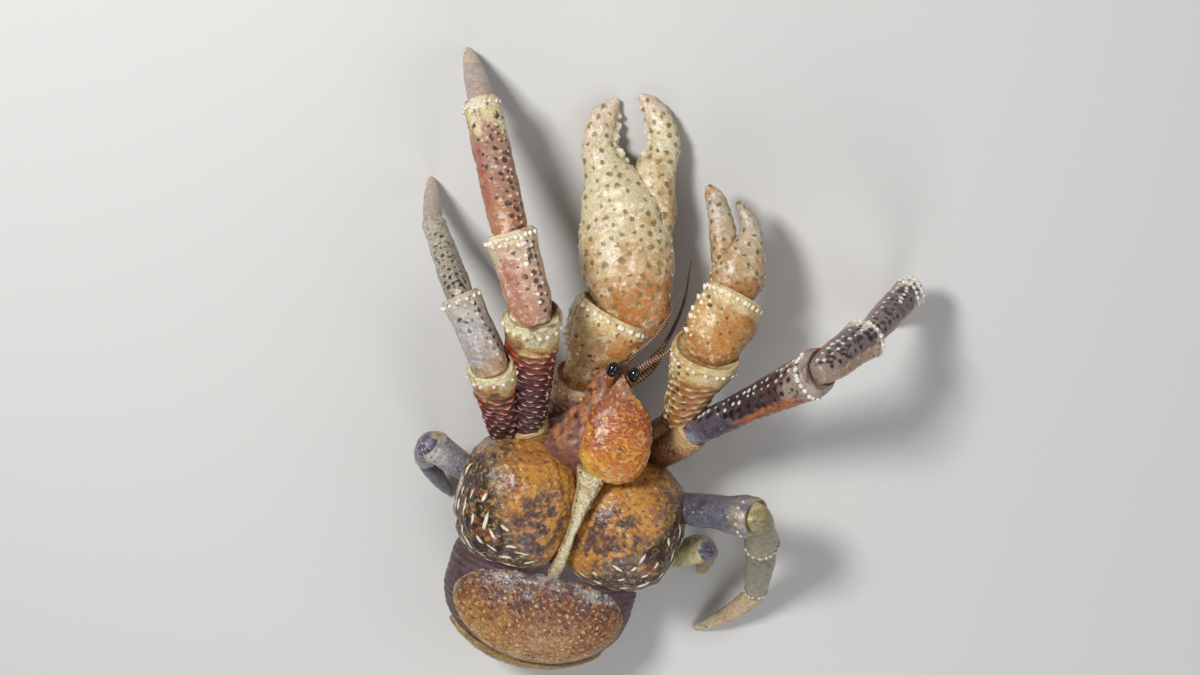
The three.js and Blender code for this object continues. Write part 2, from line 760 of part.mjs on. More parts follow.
for (const [side, hand] of [['l', HAND_L], ['r', HAND_R]]) {
  const wrist = new THREE.Vector3(...hand.wrist);
  addForm(`claw_${side}_palm`, 'claw', loft, handForm(wrist, hand.slope, hand.palm, ...hand.palmDetail),
    teeth(hand.palmTeeth, 0, hand.tooth));
  addForm(`claw_${side}_finger`, 'claw', loft, handForm(wrist, hand.slope, hand.finger, 10, 9, 2.2),
    teeth(hand.fingerTeeth, 180, hand.tooth));
  giveWay(`claw_${side}_palm`, [`claw_${side}_finger`]);
  giveWay(`claw_${side}_carpus`, [`claw_${side}_palm`]);
}

// Head: eyes on short stalks under the beak of the shield, with feelers below them.
const EYE = { ahead: 112, out: 8.5, height: 94, radius: 4.6 };
for (const [side, sign] of [['l', -1], ['r', 1]]) {
  const eyeRoot = bodyPoint([94, HEAD_RIGHT + sign * 5, 86]);
  const eyeEnd = bodyPoint([EYE.ahead, HEAD_RIGHT + sign * EYE.out, EYE.height]);
  addForm(`eyestalk_${side}`, 'feeler', loft, {
    curve: new THREE.LineCurve3(eyeRoot, eyeEnd),
    sections: [[0, 4, 4], [0.5, 3.6, 3.6], [1, 4, 4]],
    rings: 4,
    sides: 10,
  });
  addForm(`eye_${side}`, 'eye', dome, {
    centre: eyeEnd,
    axes: bodyAxes,
    radii: [EYE.radius, EYE.radius + 1.5, EYE.radius],
    sides: 9,
    rings: 6,
  });
  giveWay(`eyestalk_${side}`, [`eye_${side}`]);
  addForm(`maxilliped_${side}`, 'arm', loft, {
    curve: new THREE.CatmullRomCurve3([
      bodyPoint([70, sign * 9, 42]),
      bodyPoint([98, sign * 11, 38]),
      bodyPoint([122, sign * 9, 34]),
      bodyPoint([130, sign * 6, 20]),
    ]),
    sections: [[0, 6, 6], [0.3, 7.5, 7], [0.7, 6, 6], [1, 2.5, 2.5]],
    rings: 8,
    sides: 8,
  });
}

// Feelers: a stout stem and a whip, along points given in the body's frame.
const FEELERS = {
  antennule_l: { points: [[100, 4, 72], [118, 9, 78], [142, 22, 84], [160, 30, 76], [172, 36, 62]], root: 3.2 },
  antennule_r: { points: [[100, 12, 72], [116, 22, 78], [136, 38, 82], [154, 44, 72], [164, 47, 58]], root: 3.2 },
  antenna_l: { points: [[96, -14, 62], [110, -18, 50], [128, -18, 34], [150, -22, 20], [170, -40, 12]], root: 4.5 },
  antenna_r: { points: [[94, 15, 66], [108, 26, 68], [130, 36, 60], [160, 44, 44], [196, 42, 30]], root: 4.5 },
};
const WHIP = 1.1;
for (const [name, feeler] of Object.entries(FEELERS)) {
  const stem = feeler.root;
  addForm(name, 'feeler', loft, {
    curve: new THREE.CatmullRomCurve3(feeler.points.map(bodyPoint)),
    sections: [[0, stem, stem], [0.25, stem, stem], [0.36, stem * 0.45, stem * 0.45], [0.7, WHIP, WHIP], [1, 0.5, 0.5]],
    rings: 14,
    sides: 6,
    power: 2,
  });
}

// Where forms meet, each node keeps clear of all those before it in this order.
const LIMB_NAMES = Object.keys(LIMBS);
const named = (part) => LIMB_NAMES.map((limb) => `${limb}_${part}`).filter((name) => nodes.has(name));
const RIGHT_OF_WAY = [
  'eye_l', 'eye_r', ...named('finger'), ...named('palm'), ...named('carpus'), ...named('dactyl'), ...named('hand'),
  ...named('propodus'), 'carapace_shield', 'carapace_strip',
  'leg_2_l_merus', 'leg_2_r_merus', 'leg_3_l_merus', 'leg_3_r_merus', 'claw_l_merus', 'claw_r_merus',
  'leg_4_l_merus', 'leg_4_r_merus', 'leg_2_l_hip', 'leg_2_r_hip', 'leg_3_l_hip', 'leg_3_r_hip',
  'claw_l_hip', 'claw_r_hip', 'eyestalk_l', 'eyestalk_r', 'antennule_l', 'antennule_r',
  'antenna_l', 'antenna_r', 'maxilliped_l', 'maxilliped_r', 'thorax', 'carapace_lobe_l', 'carapace_lobe_r',
  'tergite_2', 'tergite_1', 'tergite_3', 'tergite_4', 'telson', 'abdomen_soft',
];

// The lobes end at the midline and at a level hem above the legs.
for (const [side, sign] of [['l', -1], ['r', 1]]) {
  const node = nodes.get(`carapace_lobe_${side}`);
  const middle = [0, -sign * (FLOOR_SLAB - GAP / 2), LOBE.height];
  const below = [0, 0, LOBE_HEM - FLOOR_SLAB];
  node.solid = node.solid
    .subtract(bodyBlock([2 * FLOOR_SLAB, 4 * FLOOR_SLAB, 4 * FLOOR_SLAB], middle))
    .subtract(bodyBlock([6 * FLOOR_SLAB, 6 * FLOOR_SLAB, 2 * FLOOR_SLAB], below));
}

const touches = (a, b) => {
  const first = a.boundingBox();
  const second = b.boundingBox();
  return [0, 1, 2].every((k) => first.min[k] < second.max[k] && second.min[k] < first.max[k]);
};
const slab = new THREE.BoxGeometry(1200, 1200, 2 * FLOOR_SLAB);
slab.translate(0, 0, -FLOOR_SLAB);
const floor = solidFrom(slab);
RIGHT_OF_WAY.forEach((name, rank) => {
  const keepers = RIGHT_OF_WAY.slice(0, rank)
    .filter((keeper) => touches(nodes.get(name).solid, nodes.get(keeper).guard));
  giveWay(name, keepers);
  const node = nodes.get(name);
  if (node.solid.boundingBox().min[2] < 0) node.solid = largestBody(node.solid.subtract(floor));
  node.solid = node.solid.simplify(SLIVER);
});

const crab = new THREE.Group();
const placed = new THREE.Group();
placed.position.set(-CENTRE_X, -CENTRE_Y, 0);
crab.add(placed);
for (const name of RIGHT_OF_WAY) {
  const node = nodes.get(name);
  const material = new THREE.MeshStandardMaterial({ ...PAINT[node.paint], metalness: 0 });
  const mesh = new THREE.Mesh(geometryFrom(node.solid), material);
  mesh.name = name;
  placed.add(mesh);
}
export default crab;
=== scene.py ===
import math

import bpy
import numpy as np
from mathutils import Matrix, Vector


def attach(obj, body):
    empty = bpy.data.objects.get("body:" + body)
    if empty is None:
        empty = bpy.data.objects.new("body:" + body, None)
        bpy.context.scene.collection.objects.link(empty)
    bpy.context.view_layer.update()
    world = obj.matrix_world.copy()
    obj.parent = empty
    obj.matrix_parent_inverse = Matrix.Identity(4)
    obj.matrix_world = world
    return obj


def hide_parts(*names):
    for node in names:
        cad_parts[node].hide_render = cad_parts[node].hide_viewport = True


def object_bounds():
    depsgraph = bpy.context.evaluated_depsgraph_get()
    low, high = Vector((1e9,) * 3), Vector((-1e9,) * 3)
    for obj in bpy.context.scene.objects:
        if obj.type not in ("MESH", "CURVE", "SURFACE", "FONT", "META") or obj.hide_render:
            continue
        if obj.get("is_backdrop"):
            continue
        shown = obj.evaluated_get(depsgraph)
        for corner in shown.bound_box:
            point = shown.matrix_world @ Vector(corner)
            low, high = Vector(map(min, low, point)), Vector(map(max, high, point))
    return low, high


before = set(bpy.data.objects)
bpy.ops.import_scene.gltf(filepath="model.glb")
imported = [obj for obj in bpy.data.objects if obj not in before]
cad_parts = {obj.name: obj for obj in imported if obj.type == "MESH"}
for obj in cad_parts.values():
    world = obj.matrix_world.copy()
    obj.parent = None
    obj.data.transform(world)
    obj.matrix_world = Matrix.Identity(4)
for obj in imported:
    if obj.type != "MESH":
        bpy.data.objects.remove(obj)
solid_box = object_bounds()
print("solids:", len(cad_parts), "box", [round(v, 3) for v in (*solid_box[0], *solid_box[1])])

# %% [markdown]
# ## The camera
# The camera looks down on the crab's back, tilted a little towards the head, so that the feet at
# the top of the picture are seen slightly from behind. It is placed by its distance, its tilt and
# the point that it looks at, in metres.
# %% Camera
TARGET = Vector((-0.0521, 0.0368, 0.070))
TILT = math.radians(18)
CAMERA_DISTANCE = 1.94
LENS = 76.6
SENSOR = 36
FAR_CLIP = 20

back = Vector((0, math.sin(TILT), math.cos(TILT)))
camera_up = Vector((0, math.cos(TILT), -math.sin(TILT)))
camera_data = bpy.data.cameras.new("camera")
camera_data.lens = LENS
camera_data.sensor_width = SENSOR
camera_data.clip_end = FAR_CLIP
camera = bpy.data.objects.new("camera", camera_data)
turn = Matrix((camera_up.cross(back), camera_up, back)).transposed()
camera.matrix_world = Matrix.Translation(TARGET + CAMERA_DISTANCE * back) @ turn.to_4x4()
bpy.context.scene.collection.objects.link(camera)
bpy.context.scene.camera = camera
print("camera at", [round(v, 3) for v in camera.location])

# %% [markdown]
# ## Floor and light
# A museum photograph has a plain pale floor and a few lamps. Three area lamps are enough: a strong
# key from the upper left that draws the relief, a wider and weaker fill from the right, and one
# from behind for the rims.
# %% Floor and lamps
# Each lamp has its place in metres, its power in watts and the width of its panel.
LAMPS = {
    "key lamp": ((-0.8, 0.9, 1.5), 31.0, 0.35),
    "fill lamp": ((1.3, 0.1, 1.2), 5.0, 1.2),
    "rim lamp": ((0.1, -1.3, 1.0), 8.0, 0.9),
}
FLOOR_REACH = 3.0
FLOOR_COLOUR = (0.6, 0.59, 0.57)
FLOOR_ROUGHNESS = 0.7
SKY_COLOUR = (0.9, 0.93, 1.0, 1)
SKY_STRENGTH = 0.24


def plain_finish(name, colour, roughness):
    """A finish with one colour, for the floor and the eyes."""
    material = bpy.data.materials.new(name)
    material.use_nodes = True
    shader = material.node_tree.nodes["Principled BSDF"]
    shader.inputs["Base Color"].default_value = (*colour, 1)
    shader.inputs["Roughness"].default_value = roughness
    return material


def add_lamp(name, place, power, size):
    """An area lamp at a place, turned to face the crab."""
    data = bpy.data.lights.new(name, "AREA")
    data.energy = power
    data.size = size
    lamp = bpy.data.objects.new(name, data)
    direction = (TARGET - Vector(place)).to_track_quat("-Z", "Y")
    lamp.matrix_world = Matrix.Translation(Vector(place)) @ direction.to_matrix().to_4x4()
    bpy.context.scene.collection.objects.link(lamp)


floor_mesh = bpy.data.meshes.new("floor")
corners = [(FLOOR_REACH * x, FLOOR_REACH * y, 0) for x, y in ((-1, -1), (1, -1), (1, 1), (-1, 1))]
floor_mesh.from_pydata(corners, [], [(0, 1, 2, 3)])
floor_mesh.materials.append(plain_finish("pale floor", FLOOR_COLOUR, FLOOR_ROUGHNESS))
floor = bpy.data.objects.new("floor", floor_mesh)
bpy.context.scene.collection.objects.link(floor)
floor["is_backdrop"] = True
for name, (place, power, size) in LAMPS.items():
    add_lamp(name, place, power, size)
world = bpy.data.worlds.new("studio")
world.use_nodes = True
sky = world.node_tree.nodes["Background"]
sky.inputs["Color"].default_value = SKY_COLOUR
sky.inputs["Strength"].default_value = SKY_STRENGTH
bpy.context.scene.world = world
bpy.context.scene.view_settings.view_transform = "Standard"
print("a floor and", len(LAMPS), "lamps")

# %% [markdown]
# ## The body's own frame
# The crab stands turned on the floor, so its parts are easiest to give as distances forward, to
# its right and above the floor. The body leans a few degrees to its right side.
# %% Body frame
MM = 0.001
DEG = math.pi / 180
UP = np.array([0.0, 0.0, 1.0])
BODY_FOOT = np.array([-0.0781, -0.0872, 0.0])
BODY_HEADING = 74 * DEG
BODY_ROLL = 5 * DEG
FORWARD = np.array([math.cos(BODY_HEADING), math.sin(BODY_HEADING), 0.0])
level_right = np.cross(FORWARD, UP)
RIGHTWARD = level_right * math.cos(BODY_ROLL) + np.cross(FORWARD, level_right) * math.sin(BODY_ROLL)
ABOVE = np.cross(RIGHTWARD, FORWARD)


def body_point(ahead, right, height):
    """The point that far forward, to the right and above the floor, given in millimetres."""
    ahead, right, height = (np.asarray(v, float)[..., None] * MM for v in (ahead, right, height))
    return BODY_FOOT + ahead * FORWARD + right * RIGHTWARD + height * ABOVE


def unit(vectors):
    """The same vectors with length one."""
    return vectors / np.maximum(np.linalg.norm(vectors, axis=-1, keepdims=True), 1e-12)


def heading(compass, slope):
    """A unit vector from a compass heading in degrees, 0 along +X, and a slope above the floor."""
    compass, slope = compass * DEG, slope * DEG
    level = math.cos(slope)
    return np.array([level * math.cos(compass), level * math.sin(compass), math.sin(slope)])


print("the body faces", FORWARD.round(2))

# %% [markdown]
# ## Smooth sizes
# A leg gets thicker and thinner along its length. A few rows of sizes say where, and a smooth
# curve through the rows gives the size anywhere between them.
# %% Sizes
def eased(first, last, leave, arrive, t):
    """The cubic from first to last as t goes from 0 to 1: a smooth rise from one to the other, and a
    bend that gives it the slopes leave and arrive at its ends."""
    risen = t * t * (3 - 2 * t)
    bend = (t**3 - 2 * t * t + t) * leave + (t**3 - t * t) * arrive
    return first * (1 - risen) + last * risen + bend


def smooth_rows(rows, x):
    """Rows of [position, value, ...] read at x: a cubic through the rows, whose slope at each row is
    that of the line between the rows on either side."""
    rows = np.asarray(rows, float)
    at, values = rows[:, 0], rows[:, 1:]
    x = np.asarray(x, float)
    k = np.clip(np.searchsorted(at, x) - 1, 0, len(at) - 2)
    order = np.arange(len(at))
    before, after = np.maximum(order - 1, 0), np.minimum(order + 1, len(at) - 1)
    slope = (values[after] - values[before]) / (at[after] - at[before])[:, None]
    span = (at[k + 1] - at[k])[..., None]
    t = np.clip((x - at[k])[..., None] / span, 0, 1)
    return eased(values[k], values[k + 1], span * slope[k], span * slope[k + 1], t)


print("half way between 1 and 3:", smooth_rows([[0, 1], [1, 3]], 0.5))

# %% [markdown]
# ## Paths
# Every tube of the crab follows a path: straight in a leg, bowed in a foot, and flowing through
# several places in a claw or a feeler. A Blender curve could carry the tube too. Here a path is
# many close points, so that any share of its length can be looked up in whole arrays.
# %% Paths
PATH_POINTS = 240


def straight_path(start, end):
    """Close points on the line from start to end."""
    t = np.linspace(0, 1, PATH_POINTS)[:, None]
    return start * (1 - t) + end * t


def bowed_path(start, middle, end):
    """Close points on the parabola that leaves start towards middle and arrives at end from it."""
    t = np.linspace(0, 1, PATH_POINTS)[:, None]
    return start * (1 - t) ** 2 + middle * 2 * t * (1 - t) + end * t * t


def flowing_path(points):
    """Close points on a curve through all the points. Each stretch is a cubic whose end slopes come from
    the neighbours, weighted by the square root of their distances, so that the curve never loops."""
    points = np.asarray(points, float)
    points = np.concatenate([[2 * points[0] - points[1]], points, [2 * points[-1] - points[-2]]])
    t = np.linspace(0, 1, PATH_POINTS // (len(points) - 3), endpoint=False)[:, None]
    stretches = []
    for k in range(1, len(points) - 2):
        a, b, c, d = points[k - 1 : k + 3]
        ab, bc, cd = (max(np.linalg.norm(q - p) ** 0.5, 1e-5) for p, q in ((a, b), (b, c), (c, d)))
        leave = ((b - a) / ab - (c - a) / (ab + bc) + (c - b) / bc) * bc
        arrive = ((c - b) / bc - (d - b) / (bc + cd) + (d - c) / cd) * bc
        stretches.append(eased(b, c, leave, arrive, t))
    return np.concatenate([*stretches, points[-2:-1]])


def walk(path, share):
    """The points at these shares of a path's length, and the direction of the path there."""
    steps = np.linalg.norm(np.diff(path, axis=0), axis=1)
    reach = np.concatenate([[0], np.cumsum(steps)])
    at = np.clip(share, 0, 1) * reach[-1]
    slope = unit(np.gradient(path, axis=0))
    centre, ahead = (np.stack([np.interp(at, reach, c) for c in v.T], -1) for v in (path, slope))
    return centre, unit(ahead)


def path_length(path):
    """The length of a path in millimetres."""
    return np.linalg.norm(np.diff(path, axis=0), axis=1).sum() / MM


def body_path(places):
    """A smooth path through places given in the body's own frame."""
    return flowing_path([body_point(*place) for place in places])


def rounded_square(angle, power):
    """A circle pressed towards a square: each of cosine and sine keeps its sign, and its size is
    raised to two divided by the power."""
    c, s = np.cos(angle), np.sin(angle)
    return np.sign(c) * np.abs(c) ** (2 / power), np.sign(s) * np.abs(s) ** (2 / power)


print("a path has", PATH_POINTS, "points")

# %% [markdown]
# ## Relief
# A crab's shell is bumpy. The bumps are part of the mesh, so a piece starts as a smooth grid of
# points and each point is then pushed along the surface's own direction. Four kinds of push cover
# the shell: gentle waves, round beads and long dashes at chosen places, and cross ridges.
# %% Waves
SINES = 7
FINER = 0.55
WAVE_GAIN = 2.2


def soft_step(x, low, high):
    """0 below low, 1 above high, and a smooth rise between them."""
    t = np.clip((x - low) / (high - low), 0, 1)
    return t * t * (3 - 2 * t)


def grid_normals(points):
    """The direction that a grid of rings faces: the cross product of its two steps, outwards."""
    down = np.gradient(points, axis=0)
    across = (np.roll(points, -1, axis=1) - np.roll(points, 1, axis=1)) / 2
    normals = unit(np.cross(down, across))
    outward = points - points.mean(axis=1, keepdims=True)
    return normals * np.sign((normals * outward).sum())


def waves(points, size, seed, layers=2):
    """Soft unevenness between about -1 and 1: a sum of sine waves in random directions, with crests
    about one size apart. Each further layer is half the size and about half the height."""
    random = np.random.default_rng(seed)
    total = np.zeros(points.shape[:-1])
    weight = 0.0
    for layer in range(layers):
        scale, height = size * 0.5**layer, FINER**layer
        directions = unit(random.normal(size=(SINES, 3))) * 2 * np.pi / scale
        phases = random.uniform(0, 2 * np.pi, SINES)
        total += height * np.sin(points @ directions.T + phases).sum(-1) / SINES
        weight += height
    return total / weight * WAVE_GAIN


print("waves of", SINES, "sines")

# %% [markdown]
# ## Beads and dashes
# The studs, the grain and the dashes of the shell stand in chosen or scattered places. Each is a
# cap whose height depends on the distance from its centre, so no bump needs a mesh of its own.
# %% Beads and dashes
BEAD_POWER, DASH_POWER = 0.8, 0.6
TRIES_PER_PLACE = 12


def beads(points, centres, radii):
    """Round caps: at each centre the height falls from 1 to 0 over the radius, as a power of one
    minus the square of the distance, and where caps meet the taller one counts."""
    height = np.zeros(points.shape[:-1])
    for centre, radius in zip(centres, radii):
        away = ((points - centre) ** 2).sum(-1) / radius**2
        height = np.maximum(height, np.clip(1 - away, 0, 1) ** BEAD_POWER)
    return height


def dashes(points, centres, directions, lengths, widths):
    """Long low beads: like round ones, but the distance counts less along each dash's direction."""
    height = np.zeros(points.shape[:-1])
    for centre, direction, length, width in zip(centres, directions, lengths, widths):
        away = points - centre
        along = away @ direction
        across = (away**2).sum(-1) - along**2
        inside = 1 - (along / length) ** 2 - across / width**2
        height = np.maximum(height, np.clip(inside, 0, 1) ** DASH_POWER)
    return height


def scattered(points, spacing, seed, limit):
    """Places picked from a grid's points in random order, none closer than the spacing."""
    random = np.random.default_rng(seed)
    flat = points.reshape(-1, 3)
    tries = flat[random.permutation(len(flat))[: limit * TRIES_PER_PLACE]]
    kept = np.empty((0, 3))
    for place in tries:
        if len(kept) >= limit:
            break
        if len(kept) == 0 or ((kept - place) ** 2).sum(-1).min() > spacing**2:
            kept = np.vstack([kept, place])
    return kept


print("beads and dashes ready")

# %% [markdown]
# ## From grids to meshes
# A piece of shell is a stack of rings closed by one point at each end. Masks, such as how far along
# the piece a point lies, go with the rings as named numbers for the finish to read.
# %% Closed rings
MASKS = ("along", "top", "crest", "stud", "spot", "accent")


def closed_stack(points, start, end, **masks):
    """Rings of points joined into four-sided faces, with a fan to the start and to the end point."""
    rings, sides = points.shape[:2]
    i, j = np.meshgrid(np.arange(rings - 1) * sides, np.arange(sides), indexing="ij")
    k = (j + 1) % sides
    quads = np.stack([i + j, i + sides + j, i + sides + k, i + k], -1).reshape(-1, 4)
    j, k = j[0], k[0]
    first, last, final = rings * sides, rings * sides + 1, (rings - 1) * sides
    fans = np.concatenate([
        np.stack([np.full(sides, first), j, k], -1),
        np.stack([np.full(sides, last), final + k, final + j], -1),
    ])
    flat = np.concatenate([points.reshape(-1, 3), [start], [end]])
    named = {}
    for name in MASKS:
        grid = np.broadcast_to(masks.get(name, 0.0), (rings, sides)).astype(float)
        named[name] = np.concatenate([grid.ravel(), [grid[0].mean()], [grid[-1].mean()]])
    return outside_out({"points": flat, "quads": quads, "fans": fans, "masks": named})


def outside_out(part):
    """The same part with its faces turned where they point in, which its signed volume tells."""
    p, q, f = part["points"], part["quads"], part["fans"]
    sheets = np.concatenate([q[:, [0, 1, 2]], q[:, [0, 2, 3]], f])
    a, b, c = (p[sheets[:, n]] for n in range(3))
    if (a * np.cross(b, c)).sum() < 0:
        part["quads"] = q[:, ::-1]
        part["fans"] = f[:, ::-1]
    return part


def joined(parts):
    """Several closed parts as one, with their faces renumbered."""
    counts = [len(part["points"]) for part in parts]
    offsets = np.concatenate([[0], np.cumsum(counts[:-1])]).astype(int)
    whole = {"points": np.concatenate([part["points"] for part in parts])}
    for kind in ("quads", "fans"):
        whole[kind] = np.concatenate([part[kind] + n for part, n in zip(parts, offsets)])
    whole["masks"] = {name: np.concatenate([part["masks"][name] for part in parts]) for name in MASKS}
    return whole


print(len(MASKS), "masks go with each point")

# %% [markdown]
# ## Spines
# Pale spines stand round the collars of the limbs. Each is a small cone whose root is sunk into the
# shell, because a cone that only touches it would show a gap, and all of them are joined into the
# same mesh as the shell.
# %% Spines
SPINE_SIDES = 7
SPINE_SUNK = 0.4
SPINE_HEIGHTS = (-SPINE_SUNK, 0.0, 0.35, 0.65, 0.88)
SPINE_WIDTHS = (0.9, 1.0, 0.8, 0.52, 0.24)


def cones(places, directions, lengths, radii, **masks):
    """Tapered spines, one at each place: rings of points along its direction, whose heights and
    widths are shares of its length and radius, closed by a point at the tip."""
    directions = unit(directions)
    radii = np.broadcast_to(radii, len(places))
    steep = np.abs(directions[:, 2:]) > 0.9
    lean = unit(np.cross(directions, np.where(steep, [1.0, 0, 0], UP)))
    side = np.cross(directions, lean)
    turn = 2 * np.pi * np.arange(SPINE_SIDES) / SPINE_SIDES
    ring = lean[:, None] * np.cos(turn)[None, :, None] + side[:, None] * np.sin(turn)[None, :, None]
    axis = directions[:, None] * np.array(SPINE_HEIGHTS)[None, :, None]
    points = (places[:, None] + axis * lengths[:, None, None])[:, :, None]
    points = points + ring[:, None] * (radii[:, None] * SPINE_WIDTHS)[:, :, None, None]
    tips = places + directions * lengths[:, None]
    roots = places - directions * (SPINE_SUNK * lengths)[:, None]
    return joined([closed_stack(points[n], roots[n], tips[n], **masks) for n in range(len(places))])


print("a spine has", SPINE_SIDES, "sides")

# %% [markdown]
# ## Pieces
# A piece becomes a Blender mesh in one go: its points, corners and faces are handed over as whole
# arrays, which is much quicker than adding them one by one. The piece then stands for its solids.
# %% Pieces
def add_piece(name, parts, finish, nodes):
    """A shown piece made of closed parts, with its finish. It stands for the solids named in nodes."""
    whole = joined(parts)
    whole["points"][:, 2] = np.maximum(whole["points"][:, 2], 0)
    mesh = bpy.data.meshes.new(name)
    quads, fans = whole["quads"], whole["fans"]
    corners = np.concatenate([quads.ravel(), fans.ravel()]).astype(np.int32)
    starts = np.concatenate([4 * np.arange(len(quads)), 4 * len(quads) + 3 * np.arange(len(fans))])
    mesh.vertices.add(len(whole["points"]))
    mesh.loops.add(len(corners))
    mesh.polygons.add(len(starts))
    mesh.vertices.foreach_set("co", whole["points"].astype(np.float32).ravel())
    mesh.loops.foreach_set("vertex_index", corners)
    mesh.polygons.foreach_set("loop_start", starts.astype(np.int32))
    mesh.update(calc_edges=True)
    mesh.polygons.foreach_set("use_smooth", np.ones(len(starts), bool))
    for mask, values in whole["masks"].items():
        attribute = mesh.attributes.new(mask, "FLOAT", "POINT")
        attribute.data.foreach_set("value", values.astype(np.float32))
    mesh.materials.append(finish)
    piece = bpy.data.objects.new(name, mesh)
    bpy.context.scene.collection.objects.link(piece)
    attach(piece, "root")
    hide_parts(*nodes)
    print(f"{name}: {2 * len(quads) + len(fans)} triangles")


print("mesh tools ready")

# %% [markdown]
# ## Painting a material
# A finish is a net of shader nodes. Written out one by one it would be long, so a small class keeps
# the material that is being painted, and each coat of colour is one short call. All patterns read
# the place on the object, so they stay still when the camera moves.
# %% Paint
def tint(code):
    """A colour written as #rrggbb, as the linear red, green, blue and alpha that a shader takes."""
    shares = [int(code[n : n + 2], 16) / 255 for n in (1, 3, 5)]
    return (*(s / 12.92 if s <= 0.04045 else ((s + 0.055) / 1.055) ** 2.4 for s in shares), 1.0)


class Paint:
    """A material being painted: its node tree, the place on the object, and the colour so far."""

    def __init__(self, name):
        self.material = bpy.data.materials.new(name)
        self.material.use_nodes = True
        self.tree = self.material.node_tree
        self.place = self.node("ShaderNodeTexCoord").outputs["Object"]
        self.colour = None

    def node(self, kind, inputs=None, **settings):
        """A shader node with its settings, and its inputs linked to sockets or set to values."""
        made = self.tree.nodes.new(kind)
        for key, value in settings.items():
            setattr(made, key, value)
        for key, value in (inputs or {}).items():
            if isinstance(value, bpy.types.NodeSocket):
                self.tree.links.new(value, made.inputs[key])
            else:
                made.inputs[key].default_value = value
        return made

    def mask(self, name):
        """One of the masks that go with the mesh."""
        return self.node("ShaderNodeAttribute", attribute_name=name).outputs["Fac"]

    def noise(self, scale, detail=4.0, distortion=0.0):
        """Cloudy noise around one half, with blobs about one over the scale metres wide."""
        inputs = {"Vector": self.place, "Scale": scale, "Detail": detail, "Distortion": distortion}
        return self.node("ShaderNodeTexNoise", inputs).outputs["Fac"]

    def ranged(self, value, low, high):
        """0 where the value is at low, 1 where it is at high, and a smooth rise between."""
        inputs = {"Value": value, "From Min": low, "From Max": high}
        return self.node("ShaderNodeMapRange", inputs, interpolation_type="SMOOTHSTEP").outputs["Result"]

    def plus(self, first, second):
        """The sum of two values."""
        return self.node("ShaderNodeMath", {0: first, 1: second}, operation="ADD").outputs[0]

    def times(self, first, second):
        """The product of two values."""
        return self.node("ShaderNodeMath", {0: first, 1: second}, operation="MULTIPLY").outputs[0]

    def mixed(self, share, first, second, **settings):
        """The first colour where the share is 0 and the second where it is 1."""
        inputs = {0: share, 6: first, 7: second}
        return self.node("ShaderNodeMix", inputs, data_type="RGBA", **settings).outputs[2]

    def lay(self, code, share, strength):
        """Lays a colour over what is painted so far, by the share times the strength."""
        self.colour = self.mixed(self.times(share, strength), self.colour, tint(code))

    def dots(self, scale, size):
        """Soft round dots, one near the middle of each cell of a honeycomb of that scale, some of
        them stronger than others."""
        inputs = {"Vector": self.place, "Scale": scale, "Randomness": 0.9}
        away = self.node("ShaderNodeTexVoronoi", inputs).outputs["Distance"]
        strength = self.ranged(self.noise(scale * 0.45, 1.0), 0.3, 0.56)
        return self.times(self.ranged(away, size, size * 0.1), strength)

    def banded(self, value, bands):
        """Starts with a colour that passes smoothly through the bands, each a value and a colour."""
        made = self.node("ShaderNodeValToRGB", {"Fac": value})
        made.color_ramp.interpolation = "EASE"
        stops = made.color_ramp.elements
        while len(stops) < len(bands):
            stops.new(1.0)
        for stop, (at, code) in zip(stops, bands.items()):
            stop.position = at
            stop.color = tint(code)
        self.colour = made.outputs["Color"]


print("paint ready")

# %% [markdown]
# ## Shell
# Shell is painted from inside by pigment, so its colour drifts along each piece, with blotches,
# streaks and dots over it, and the worn tops of ridges and beads are pale. The valleys of the relief
# are darkened as painted shade. One function builds such a finish from a few colours, and every kind
# of shell gets its own colours.
# %% Shell finish
SPECKLE_TINT = (0.36, 0.29, 0.25, 1)
GRAIN, GRAIN_DEPTH = 0.2, 0.0012
COAT_WEIGHT, COAT_ROUGHNESS = 0.14, 0.26


